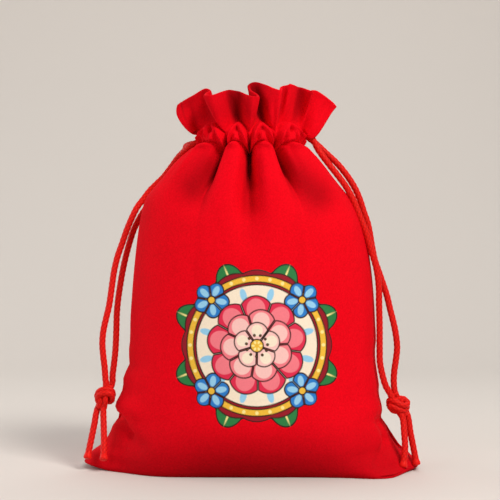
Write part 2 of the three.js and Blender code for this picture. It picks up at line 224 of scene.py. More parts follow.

# Free strands from the channel's side opening to the knot, and their tails from under the knot to
# the sealed tip, as x, y, z.
STRANDS = {
    "right_strand_front": (
        (24, -1.9, 149.8), (25.9, -1.9, 149.4), (28.2, -2.3, 147.1), (30.3, -3, 143),
        (35.2, -4, 136.2), (39.2, -4.6, 131.1), (43, -5.3, 125.7), (45.8, -5.9, 120.3),
        (49, -6.4, 112.2), (51.1, -6.8, 106.8), (52.7, -7, 101.5), (54.3, -7.3, 96),
        (55.8, -7.7, 90.7), (56.7, -8.2, 85.4), (57.1, -8.7, 80), (57.1, -9, 74.7),
        (57.3, -9.4, 64), (57.3, -9.8, 53.4), (57.4, -10, 48), (58.4, -10.1, 42.7),
        (59.9, -10.2, 37.6), (61.9, -9.9, 34),
    ),
    "right_strand_back": (
        (24, 1.9, 149.8), (25.6, 1.9, 149.1), (29.4, 2, 146.2), (33.4, 1.6, 142.4),
        (39.3, 0.7, 136.7), (43.6, 0, 131.3), (46.9, -0.7, 125.9), (49.2, -1.3, 120.5),
        (50.9, -1.8, 115), (52.7, -2.3, 109.6), (54.6, -3.1, 98.8), (55.7, -3.5, 93.3),
        (57.5, -4, 88), (59.3, -4.6, 82.6), (61, -5.3, 77.2), (62.2, -6, 71.8),
        (63.5, -6.6, 66.5), (64.6, -7.1, 61.2), (65.3, -7.5, 54.5), (64.8, -7.6, 49.2),
        (64, -7.6, 43.6), (63.8, -7.7, 38.7), (64.4, -8.1, 34.2),
    ),
    "left_strand_front": (
        (-24, -1.9, 146.5), (-25.4, -1.8, 145.8), (-27.6, -0.4, 144.9), (-30.1, 3.9, 143.1),
        (-33.2, 8, 140.4), (-36.9, 10.8, 135.7), (-40.5, 12, 131.2), (-43, 12, 128.8),
        (-46.6, 11.4, 125.1), (-49.4, 10.4, 121.3), (-52.1, 9, 117.6), (-53.9, 7.7, 113.9),
        (-56.5, 6, 107.5), (-58.6, 4.6, 101.1), (-60.7, 3.2, 94.7), (-62.1, 2, 88.3),
        (-62.9, 0.7, 82), (-63.4, -0.4, 77.6), (-64.1, -1.5, 72.5), (-65.3, -2.4, 67.1),
        (-66.4, -3.2, 61.7), (-66.8, -3.9, 56.3), (-66.4, -4.5, 50.9), (-65.7, -5.1, 45.4),
        (-65.3, -5.6, 40.8), (-65, -5.9, 37.5),
    ),
    "left_strand_back": (
        (-24, 1.9, 146.5), (-26.7, 1.5, 145.9), (-29.4, 5.1, 145.2), (-30.2, 10.2, 143.1),
        (-32, 13.2, 139), (-36, 15.4, 134.2), (-41, 16.4, 127.5), (-46, 14.4, 120.7),
        (-50.4, 11.2, 114), (-53.6, 9.2, 107.5), (-55.6, 7.7, 101.1), (-57.2, 6.4, 94.7),
        (-58.5, 5.2, 88.3), (-59.5, 4, 81.9), (-60.3, 2.6, 75.6), (-60.8, 1.5, 69.3),
        (-60.9, 0.7, 63.5), (-61, -0.2, 58), (-61.2, -1.1, 52.7), (-61.7, -2, 47.2),
        (-62.3, -2.8, 41.8), (-62.6, -3.3, 37.4),
    ),
}
TAILS = {
    "right_tail_front": ((67.2, -10.6, 24.1), (67.9, -12.8, 17), (68, -15.4, 9.8), (67, -17.4, 2.6)),
    "right_tail_back": ((69.7, -7.9, 24.7), (71, -9, 17), (72.3, -10.4, 9.8), (73.5, -11.8, 2.8)),
    "left_tail_front": ((-66.1, -6.2, 27.1), (-65.7, -9, 19.6), (-65.1, -13.4, 12.4), (-64.8, -17.6, 5.8)),
    "left_tail_back": ((-68.8, -4.3, 27), (-70.2, -6.4, 19.6), (-71.5, -8.8, 12.4), (-72.7, -11.4, 5.6)),
}

# Turns of the two knots: right, up and forwards of the knot's middle.
KNOT_TURNS = {
    "right": (
        (-2.2, 4.4, -0.4), (-0.6, 1.4, -1.7), (0.8, -2, -1.9), (-2.2, -2.2, -1), (-4, 0.6, 0.2),
        (-2, 0.4, 2.1), (0.8, -0.9, 2.6), (3.3, -1.3, 1.7), (4.1, 0.4, -0.2), (2, 2.5, -0.6),
        (0.2, 1.4, 0.4), (0.9, -2, 0.7), (2.6, -4.8, 0.2),
    ),
    "left": (
        (1.2, 4.8, -0.6), (0.9, 2.2, -1.8), (1.6, -1.4, -2), (3.2, -0.6, -0.2), (3, 1.8, 1.5),
        (0.4, 2.6, 2.3), (-2.4, 1.7, 1.8), (-3.5, -0.8, 0.3), (-2.2, -2.6, -0.9), (-0.8, -0.4, -0.4),
        (-0.6, 0.9, 1.3), (-0.9, -1.8, 2), (-1.6, -4.9, 0.6),
    ),
}


class Side(Enum):
    """The two sides that a cord can leave the channel at, with the sign of their x."""

    RIGHT = 1
    LEFT = -1

    @property
    def word(self) -> str:
        """The side's name as the nodes use it."""
        return self.name.lower()


def mix(low: Array | float, high: Array | float, share: Array | float) -> Array | float:
    """Straight mix: the low value plus the share of the way to the high one."""
    return low + (high - low) * share


def ease(low: Array | float, high: Array | float, value: Array) -> Array:
    """Smooth step from 0 to 1: 3 t squared minus 2 t cubed, with t the clipped way from low to high."""
    t = np.clip((value - low) / (high - low), 0, 1)
    return t * t * (3 - 2 * t)


def bell(distance: Array, width: float) -> Array:
    """Bell of height 1: e to the power of minus the squared distance over the squared width."""
    return np.exp(-((distance / width) ** 2))


def unit(vectors: Array) -> Array:
    """Vectors along the last axis brought to length 1."""
    return vectors / np.maximum(np.linalg.norm(vectors, axis=-1, keepdims=True), TINY)


def climb(count: int) -> Array:
    """Even shares up to 1 without the 0, one for each of a number of rows."""
    return np.linspace(0, 1, count + 1)[1:, None]


def length_along(line: Array) -> Array:
    """Length of a line of points from its start up to each point."""
    steps = np.linalg.norm(np.diff(line, axis=0), axis=1)
    return np.concatenate([[0], np.cumsum(steps)])


def through_rows(values: Array, place: Array) -> Array:
    """Smooth curve through a table column without overshoot.

    Each cell is a cubic between two rows. Its end slopes are the harmonic mean of the steps on both
    sides of a row, or level where the steps differ in sign.

    Args:
        values: The column, one value for each row.
        place: Row numbers to read at, whole or not.

    Returns:
        The column read at each place.
    """
    step = np.diff(values)
    product = step[:-1] * step[1:]
    inner = np.where(product > 0, 2 * product / np.where(product > 0, step[:-1] + step[1:], 1), 0)
    slope = np.concatenate([step[:1], inner, step[-1:]])
    cell = np.clip(np.floor(place).astype(int), 0, len(step) - 1)
    t = place - cell
    rest = 1 - t
    ends = values[cell] * (1 + 2 * t) * rest**2 + values[cell + 1] * (3 - 2 * t) * t**2
    return ends + slope[cell] * t * rest**2 - slope[cell + 1] * rest * t**2


def row_of(values: Array, wanted: Array, cuts: int = TABLE_CUTS) -> Array:
    """Row numbers, whole or not, at which a rising table column has the wanted values."""
    rows = np.linspace(0, len(values) - 1, cuts)
    return np.interp(wanted, through_rows(values, rows), rows)


def smooth_path(points: Array, step: float) -> Array:
    """Centripetal curve through given points, cut into even steps.

    Each stretch is a cubic whose end slopes come from three neighbours, weighted by the square root
    of their distances.

    Args:
        points: The points, n by 3.
        step: Length of one even step.

    Returns:
        The evenly spaced points of the curve.
    """
    padded = np.concatenate([[2 * points[0] - points[1]], points, [2 * points[-1] - points[-2]]])
    gap = np.sqrt(np.linalg.norm(np.diff(padded, axis=0), axis=1))[:, None]
    p0, p1, p2, p3 = padded[:-3], padded[1:-2], padded[2:-1], padded[3:]
    d0, d1, d2 = gap[:-2], gap[1:-1], gap[2:]
    start = d1 * ((p1 - p0) / d0 - (p2 - p0) / (d0 + d1) + (p2 - p1) / d1)
    end = d1 * ((p2 - p1) / d1 - (p3 - p1) / (d1 + d2) + (p3 - p2) / d2)
    t = np.linspace(0, 1, CURVE_CUTS, endpoint=False)[None, :, None]
    rest = 1 - t
    curve = p1[:, None] * (1 + 2 * t) * rest**2 + p2[:, None] * (3 - 2 * t) * t**2
    curve = curve + start[:, None] * t * rest**2 - end[:, None] * rest * t**2
    line = np.concatenate([curve.reshape(-1, 3), points[-1:]])
    along = length_along(line)
    at = np.linspace(0, along[-1], int(np.ceil(along[-1] / step)) + 1)
    return np.stack([np.interp(at, along, line[:, axis]) for axis in range(3)], axis=1)


def soft_folds(x: Array, z: Array, folds: Rows) -> Array:
    """Sum of soft folds: each is a bell of the distance to its line, times its depth.

    Args:
        x: Places across.
        z: Heights.
        folds: The folds, each as x, z to x, z, width and depth.

    Returns:
        The summed depth at each place.
    """
    total = np.zeros(np.broadcast(x, z).shape)
    for x0, z0, x1, z1, width, depth in folds:
        run, rise = x1 - x0, z1 - z0
        t = np.clip(((x - x0) * run + (z - z0) * rise) / (run**2 + rise**2), 0, 1)
        total = total + depth * bell(np.hypot(x - x0 - t * run, z - z0 - t * rise), width)
    return total


def grid_faces(rows: int, columns: int, wrap_rows: bool = False, wrap_columns: bool = False) -> Array:
    """Corner numbers of the four-sided faces of a grid of points.

    Args:
        rows: Number of point rows.
        columns: Number of points in a row.
        wrap_rows: Whether the last row joins the first.
        wrap_columns: Whether the last point of a row joins its first.

    Returns:
        Faces, n by 4, that turn from a row to the next along rising columns.
    """
    row = np.arange(rows if wrap_rows else rows - 1)[:, None] * columns
    column = np.arange(columns if wrap_columns else columns - 1)[None, :]
    above = (row + columns) % (rows * columns)
    right = (column + 1) % columns
    corners = (row + column, row + right, above + right, above + column)
    return np.stack(np.broadcast_arrays(*corners), axis=-1).reshape(-1, 4)


def ring_cap(count: int) -> Array:
    """Corner numbers of the strip of faces that closes a ring of points.

    Args:
        count: Number of points in the ring, which is even.

    Returns:
        Faces, n by 4, each across the ring from two neighbours to two others.
    """
    near = np.arange(count // 2 - 1)
    far = count - 1 - near
    return np.stack([near, near + 1, far - 1, far], axis=1)


def add_piece(name: str, points: Array, faces: Array, material: bpy.types.Material) -> bpy.types.Object:
    """Makes a smooth-shaded mesh object at the origin.

    Args:
        name: The piece's name.
        points: Points in millimetres, n by 3.
        faces: Corner numbers of the faces, n by 3 or n by 4.
        material: The finish.

    Returns:
        The new object, linked to the scene.
    """
    mesh = bpy.data.meshes.new(name)
    sides = faces.shape[1]
    mesh.vertices.add(len(points))
    mesh.vertices.foreach_set("co", (points * MM).astype(np.float32).ravel())
    mesh.loops.add(faces.size)
    mesh.loops.foreach_set("vertex_index", faces.astype(np.int32).ravel())
    mesh.polygons.add(len(faces))
    mesh.polygons.foreach_set("loop_start", np.arange(0, faces.size, sides, dtype=np.int32))
    mesh.polygons.foreach_set("use_smooth", np.ones(len(faces), bool))
    mesh.update(calc_edges=True)
    mesh.materials.append(material)
    piece = bpy.data.objects.new(name, mesh)
    bpy.context.scene.collection.objects.link(piece)
    return piece


def add_value(piece: bpy.types.Object, name: str, values: Array) -> None:
    """Stores one number for each point of a piece, for its material to read."""
    layer = piece.data.attributes.new(name, "FLOAT", "POINT")
    layer.data.foreach_set("value", values.astype(np.float32).ravel())


def seat(piece: bpy.types.Object, slot: str | None, *nodes: str) -> None:
    """Fixes a finished piece to the pouch's body and hides the nodes it stands for.

    Args:
        piece: The piece.
        slot: The material slot, or None where the frame has none for it; not used.
        nodes: Names of the nodes that the piece replaces.
    """
    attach(piece, BODY)
    if nodes:
        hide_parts(*nodes)
    LOG.info("%s: %d points, for %s", piece.name, len(piece.data.vertices), ", ".join(nodes) or "no node")


@dataclass(frozen=True)
class Columns:
    """Places along the gathered neck, one for each column of a panel.

    share goes from the left seam to the right one, and edge from the nearer seam. side and front are
    x and minus y on the neck oval, brought to 1. oval is the place on the oval and out its outward
    direction. valley and from_crest go from 0 on a pleat's crest to 1 in a valley, the first as a
    cosine and the second evenly. strength is how strongly the valley is drawn in, and wing goes from 0
    to 1 at the ruffle's two ends.
    """

    share: Array
    edge: Array
    side: Array
    front: Array
    oval: Array
    out: Array
    valley: Array
    from_crest: Array
    strength: Array
    wing: Array


@dataclass(frozen=True)
class PanelShape:
    """Shape of one cloth panel in millimetres, as functions of a share across and a row upwards.

    A pair whose name ends in fade holds the two ends of a smooth step.
    """

    # Cloth, side seams and their stitches.
    wall: float = 1.2
    seam_edge: float = 0.12
    seam_groove: float = 0.7
    groove_width: float = 1.6
    groove_fade: Pair = (14, 30)
    stitch_length: float = 2.8
    stitch_dimple: float = 0.3
    pucker_reach: float = 9
    # Flat corner ears on the ground. The lift has the left ear first, and only the left ear bends back.
    full_ear: float = 8
    ear_sharpness: float = 24
    ear_lift: Pair = (1.6, 0.32)
    ear_lift_reach: float = 8
    ear_lift_top: float = 5
    ear_back: float = 4
    ear_back_fade: Pair = (15, 70)
    ear_top_fade: Pair = (3, 40)
    corner_fade: Pair = (0, 0.3)
    # Neck oval and its pleats. The valley pairs hold the value low down and at the stitch row.
    neck_width: float = 20
    neck_depth: float = 13.5
    crowding: float = 0.6
    stitch_fold: float = 5
    stitch_wave: float = 3
    wave_power: float = 1.5
    valley_depth: float = 1.5
    valley_spread: Pair = (1.5, 1)
    valley_start: Pair = (0.05, 0.36)
    valley_full: Pair = (0.95, 0.88)
    gather: float = 0.5
    crest_start: float = 139
    crest_lift: float = 3.2
    crest_width: float = 0.3
    crest_fade: Pair = (0.15, 0.22)
    # Drawcord channel between its two stitch rows. The upper crest has the outer hoods first.
    lower_stitch: float = 143.2
    upper_stitch: float = 152.6
    zigzag: float = 2.9
    zigzag_round: float = 0.1
    lower_crest: float = 3.5
    upper_crest: Pair = (0.2, -1)
    upper_crest_fade: Pair = (0.2, 0.3)
    upper_valley: float = 3.4
    channel_back: float = -3.4
    # Hoods of the channel. A ray is its spread and its width, and the gathers are waves and a start.
    valley_puff: float = 2
    crest_puff: float = 4.2
    side_puff: float = 0.3
    side_puff_fade: Pair = (0.08, 0.29)
    leg_spread: float = 0.8
    leg_curve: float = 0.9
    leg_width: float = 0.26
    hood_tuck: float = 1.5
    hood_tuck_fade: Pair = (0.12, 0.5)
    hood_bulge: float = 2.8
    hood_bulge_width: float = 0.19
    hood_bulge_fade: Pair = (0.3, 0.66)
    outer_start_fade: Pair = (0.05, 0.16)
    outer_end_fade: Pair = (0.2, 0.26)
    channel_gather: float = 0.4
    outer_gather: float = 0.5
    gather_wave: Pair = (31, 0.2)
    ray: float = 2.2
    rays: tuple[Pair, ...] = ((0.3, 0.08), (0.9, 0.1))
    # Ruffle. The flare and the droop have the left end first.
    rim_round: float = 1.3
    flare: Pair = (0.5, 0.9)
    billow: float = 1.4
    billow_start: float = 11
    billow_range: float = 8
    billow_least: float = -0.6
    hollow_power: float = 0.7
    wing_share: float = 0.083
    wing_droop: Pair = (0.8, 5)
    wing_round: float = 1.8
    wing_round_power: float = 1.6
    wing_gap: float = 4.6
    gap_fade: Pair = (0, 0.8)
    gap_start_fade: Pair = (0, 0.12)
    gap_end_fade: Pair = (0.3, 0.95)
    wing_stitch: float = 0.026
    wing_stitch_width: float = 0.006
    wing_stitch_depth: float = 0.4
    wing_stitch_fade: Pair = (0, 0.15)

    def columns(self, share: Array) -> Columns:
        """Places of columns on the front half of the neck oval.

        The pleat wave has one turn from each valley of the pleat table to the next. A column lies at
        its share of the half oval's length, less a sine of the wave, so that columns crowd into the
        valleys.

        Args:
            share: Share of the panel from the left seam to the right seam.

        Returns:
            The columns' places and pleat values.
        """
        angle = np.linspace(np.pi, 2 * np.pi, OVAL_CUTS)
        oval = np.stack([self.neck_width * np.cos(angle), self.neck_depth * np.sin(angle)], axis=-1)
        along = length_along(oval)
        phase = row_of(PLEAT_SHARES, share) / 2
        crowded = phase - self.crowding / (2 * np.pi) * np.sin(2 * np.pi * phase)
        place = through_rows(PLEAT_SHARES, 2 * crowded) * along[-1]
        x = np.interp(place, along, oval[:, 0])
        y = np.interp(place, along, oval[:, 1])
        edge = np.minimum(share, 1 - share)
        return Columns(
            share=share,
            edge=edge,
            side=x / self.neck_width,
            front=np.maximum(0, -y / self.neck_depth),
            oval=np.stack([x, y], axis=-1),
            out=unit(np.stack([x / self.neck_width**2, y / self.neck_depth**2], axis=-1)),
            valley=(1 + np.cos(2 * np.pi * phase)) / 2,
            from_crest=np.abs(2 * (phase % 1) - 1),
            strength=np.interp(phase, np.arange(len(VALLEY_STRENGTHS)), VALLEY_STRENGTHS),
            wing=np.maximum(0, 1 - edge / self.wing_share),
        )

    def pouch(self, share: Array, row: Array, folds: Rows) -> Array:
        """Outside of the pouch below the channel.

        Half an oval of the section's reach and depth, flattened into corner ears near the ground,
        drawn in along its plan normal by the pleat wave, small gathers, soft folds and the side seams.

        Args:
            share: Share of the panel from the left seam to the right seam.
            row: Row of the section table, whole or not.
            folds: Soft folds of this panel.

        Returns:
            Points, with x, y and z on the last axis.
        """
        c = self.columns(share)
        s = {name: through_rows(POUCH_SECTIONS[:, i], row) for i, name in enumerate(SECTION_COLUMNS)}
        z = s["z"]
        reach = mix(s["left"], s["right"], (1 + c.side) / 2)
        flat = np.minimum(1, s["ear"] / self.full_ear)
        tip = np.sign(c.side) * np.abs(c.side) ** self.ear_sharpness
        x = (reach - s["ear"]) * c.side + s["ear"] * tip
        edge = np.sqrt(np.clip(c.front / self.seam_edge, 0, 1))
        y = -self.wall * flat * edge - s["depth"] * c.front ** s["lens"]
        out = unit(np.stack([s["depth"] * c.side, -reach * c.front], axis=-1))
        pinch = s["fold"] / self.stitch_fold
        inward = s["fold"] * self.drawn_in(c, pinch) + self.small_gathers(c, pinch)
        inward = inward + soft_folds(x, z, folds) + self.seam_relief(c, z, reach, s["depth"])
        inward = inward - self.crest_rise(c) * ease(self.crest_start, self.lower_stitch, z)
        x = x - out[..., 0] * inward
        y = y - out[..., 1] * inward
        if folds is FRONT_FOLDS:
            y = y - self.pushed(c, x, z)
        lift = np.where(c.side < 0, *self.ear_lift) * bell(reach - np.abs(x), self.ear_lift_reach)
        lift = lift * np.clip(1 - z / self.ear_lift_top, 0, 1)
        z = z + self.stitch_wave * pinch**self.wave_power * (1 - 2 * c.valley) + lift
        return np.stack(np.broadcast_arrays(x, np.minimum(y, 0), z), axis=-1)

    def pushed(self, c: Columns, x: Array, z: Array) -> Array:
        """Forward push of the filled lower corners: bells across that fade upwards and to the seams.

        Args:
            c: The columns' places.
            x: Places across.
            z: Heights.

        Returns:
            The push at each point.
        """
        total = np.zeros(np.broadcast(x, z).shape)
        for middle, width, low, top, push in FRONT_CORNERS:
            total = total + push * bell(x - middle, width) * (1 - ease(low, top, z))
        return total * ease(*self.corner_fade, c.front)

    def seam_relief(self, c: Columns, z: Array, reach: Array, depth: Array) -> Array:
        """How far the cloth is drawn in at the side seams.

        A groove along the seam, dimpled by a cosine for the stitches, less the puckers, which are a
        bell of the way from the seam.

        Args:
            c: The columns' places.
            z: Heights.
            reach: Reach of the section to the seam.
            depth: Depth of the section.

        Returns:
            The relief at each point.
        """
        heights, left, right = SEAM_PUCKERS.T
        stand = np.where(c.side < 0, np.interp(z, heights, left), np.interp(z, heights, right))
        puckers = stand * bell(reach * (1 - np.abs(c.side)), self.pucker_reach)
        stitched = 1 + self.stitch_dimple * np.cos(2 * np.pi * z / self.stitch_length)
        groove = self.seam_groove * bell(c.front * depth, self.groove_width) * ease(*self.groove_fade, z)
        return groove * stitched - puckers

    def crest_rise(self, c: Columns) -> Array:
        """How far a pleat's crest stands out where it runs on into its hood, as a bell of the pleat."""
        return self.crest_lift * bell(c.from_crest, self.crest_width) * ease(*self.crest_fade, c.edge)

    def drawn_in(self, c: Columns, pinch: Array | float) -> Array:
        """Share of the fold depth that a column is drawn in by: flat-bottomed valleys, wider lower down."""
        valley = ease(mix(*self.valley_start, pinch), mix(*self.valley_full, pinch), c.from_crest)
        return self.valley_depth * mix(*self.valley_spread, pinch) * c.strength * valley

    def small_gathers(self, c: Columns, pinch: Array) -> Array:
        """Small uneven gathers between the pleats: cosines that fade away from the stitch row."""
        turns = ((part, waves * c.share + start) for part, waves, start in GATHER_WAVES)
        return self.gather * pinch**2 * sum(part * np.cos(2 * np.pi * turn) for part, turn in turns)

    def neck(self, c: Columns, offset: Array, z: Array) -> Array:
        """Points at an offset from the neck oval along its plan normal, kept on the panel's own side."""
        x, y = np.moveaxis(c.oval + c.out * np.asarray(offset)[..., None], -1, 0)
        return np.stack(np.broadcast_arrays(x, np.minimum(y, 0), z), axis=-1)

    def channel_height(self, c: Columns, rise: Array) -> Array:
        """Height in the channel: a mix of the rounded lower and the zigzag upper stitch row.

        Args:
            c: The columns' places.
            rise: Share of the way from the lower to the upper stitch row.

        Returns:
            The height at each point.
        """
        zigzag = 1 - 2 * np.sqrt(c.from_crest**2 + self.zigzag_round**2)
        lower = self.lower_stitch + self.stitch_wave * np.cos(np.pi * c.from_crest)
        return mix(lower, self.upper_stitch + self.zigzag * zigzag, rise)

    def channel_offset(self, c: Columns, rise: Array) -> Array:
        """Offset of the puffed channel.

        A straight mix of the two stitch rows plus a half round puff. Every second fold is a hood in
        the shape of an upturned V: its two legs stand out, and the cloth under its apex and between
        two hoods is drawn in. The pleat's crest runs on from below as a bulge between the legs, and
        on the wide outer hoods, two more rays run down from the apex.

        Args:
            c: The columns' places.
            rise: Share of the way from the lower to the upper stitch row.

        Returns:
            The offset from the neck oval at each point.
        """
        lower = self.lower_crest + self.crest_rise(c) - self.stitch_fold * self.drawn_in(c, 1.0)
        crest = mix(*self.upper_crest, ease(*self.upper_crest_fade, c.edge))
        upper = mix(crest, self.upper_valley, c.valley)
        fall = 1 - rise
        leg = self.leg_spread * fall**self.leg_curve
        puff = self.valley_puff + self.crest_puff * bell(c.from_crest - leg, self.leg_width)
        puff = puff * mix(self.side_puff, 1, ease(*self.side_puff_fade, c.edge))
        tuck = self.hood_tuck * ease(*self.hood_tuck_fade, leg - c.from_crest)
        bulge = self.hood_bulge * bell(c.from_crest, self.hood_bulge_width)
        bulge = bulge * (1 - ease(*self.hood_bulge_fade, rise))
        outer = ease(*self.outer_start_fade, c.edge) * (1 - ease(*self.outer_end_fade, c.edge))
        waves, start = self.gather_wave
        gathers = np.cos(2 * np.pi * (waves * c.share + start)) * fall
        gathers = gathers * (self.channel_gather + self.outer_gather * outer)
        rays = sum(bell(c.from_crest - spread * fall, width) for spread, width in self.rays)
        relief = puff - tuck + bulge + gathers + self.ray * rays * outer
        return mix(lower, upper, rise) + 2 * np.sqrt(rise * fall) * relief

    def channel(self, share: Array, rise: Array) -> Array:
        """Outside of the drawcord channel between its stitch rows."""
        c = self.columns(share)
        return self.neck(c, self.channel_offset(c, rise), self.channel_height(c, rise))

    def ruffle(self, share: Array, rise: Array, rim: Array) -> Array:
        """Outside of the ruffle above the channel.

        Each column goes from the upper stitch row to its place on the rim: straight up in height, by a
        power of the rise in plan, and on the way it bulges where the rim stands out and sinks where
        the table has a hollow.

        Args:
            share: Share of the panel from the left seam to the right seam.
            rise: Share of the way from the stitch row to the rim.
            rim: The panel's rim table.

        Returns:
            Points, with x, y and z on the last axis.
        """
        c = self.columns(share)
        base = self.channel(share, np.ones_like(rise))
        row = row_of(rim[:, 0], share)
        edge = np.stack([through_rows(column, row) for column in rim[:, 1:].T], axis=-1)
        edge[..., 2] = edge[..., 2] - self.rim_round / 2
        plan = rise ** mix(*self.flare, share)
        point = base + (edge - base) * np.stack(np.broadcast_arrays(plan, plan, rise), axis=-1)
        stand = np.clip((-edge[..., 1] - self.billow_start) / self.billow_range, self.billow_least, 1)
        hollow = sum(depth * bell(share - place, width) for place, width, depth in RUFFLE_HOLLOWS)
        behind = hollow * np.sin(np.pi * rise**self.hollow_power)
        behind = behind - self.billow * stand * np.sin(np.pi * rise)
        point[..., 1] = np.minimum(point[..., 1] + behind * (1 - c.wing), 0)
        return self.with_wings(c, rise, point)

    def with_wings(self, c: Columns, rise: Array, point: Array) -> Array:
        """Shapes the ruffle's two ends.

        They droop by a skewed bump of the rise, the left one rounds outwards by a sine, both part from
        the other panel by a product of smooth steps, and a bell beside the edge shows the stitches.

        Args:
            c: The columns' places.
            rise: Share of the way from the stitch row to the rim.
            point: Points of the ruffle.

        Returns:
            The points with the wings' shape.
        """
        droop = mix(*self.wing_droop, c.share) * SKEWED_PEAK * rise * (1 - rise) ** 2
        rounded = self.wing_round * np.sin(np.pi * rise**self.wing_round_power) * (1 - c.share)
        parted = self.wing_gap * ease(*self.gap_fade, c.wing) * ease(*self.gap_start_fade, rise)
        parted = parted * (1 - ease(*self.gap_end_fade, rise))
        sewn = self.wing_stitch_depth * bell(c.edge - self.wing_stitch, self.wing_stitch_width)
        sewn = sewn * ease(*self.wing_stitch_fade, rise)
        x, y, z = np.moveaxis(point, -1, 0)
        y = np.minimum(y + sewn - parted, 0)
        return np.stack([x - rounded * c.wing**2, y, z - droop * c.wing], axis=-1)

    def bent(self, points: Array) -> Array:
        """Bends the left ear back: a smooth step along x that fades out upwards.

        Args:
            points: Points of either panel.

        Returns:
            The bent points.
        """
        x, y, z = np.moveaxis(points, -1, 0)
        back = self.ear_back * ease(*self.ear_back_fade, -x) * (1 - ease(*self.ear_top_fade, z))
        return np.stack([x, y + back, z], axis=-1)

    def front_at(self, x: Array, z: Array) -> Array:
        """Points of the front cloth at given places, found by corrected guesses of the share.

        Args:
            x: Places across.
            z: Heights.

        Returns:
            Points on the cloth's outside.
        """
        row = row_of(POUCH_SECTIONS[:, 0], z, GUESS_CUTS)
        shares = np.linspace(0, 1, GUESS_CUTS)
        sides = self.columns(shares).side
        reach = mix(through_rows(POUCH_SECTIONS[:, 1], row), through_rows(POUCH_SECTIONS[:, 2], row), 0.5)
        side = x / reach
        for _ in range(GUESSES):
            point = self.pouch(np.interp(side, sides, shares), row, FRONT_FOLDS)
            side = side + (x - point[..., 0]) / reach
        return self.bent(self.pouch(np.interp(side, sides, shares), row, FRONT_FOLDS))


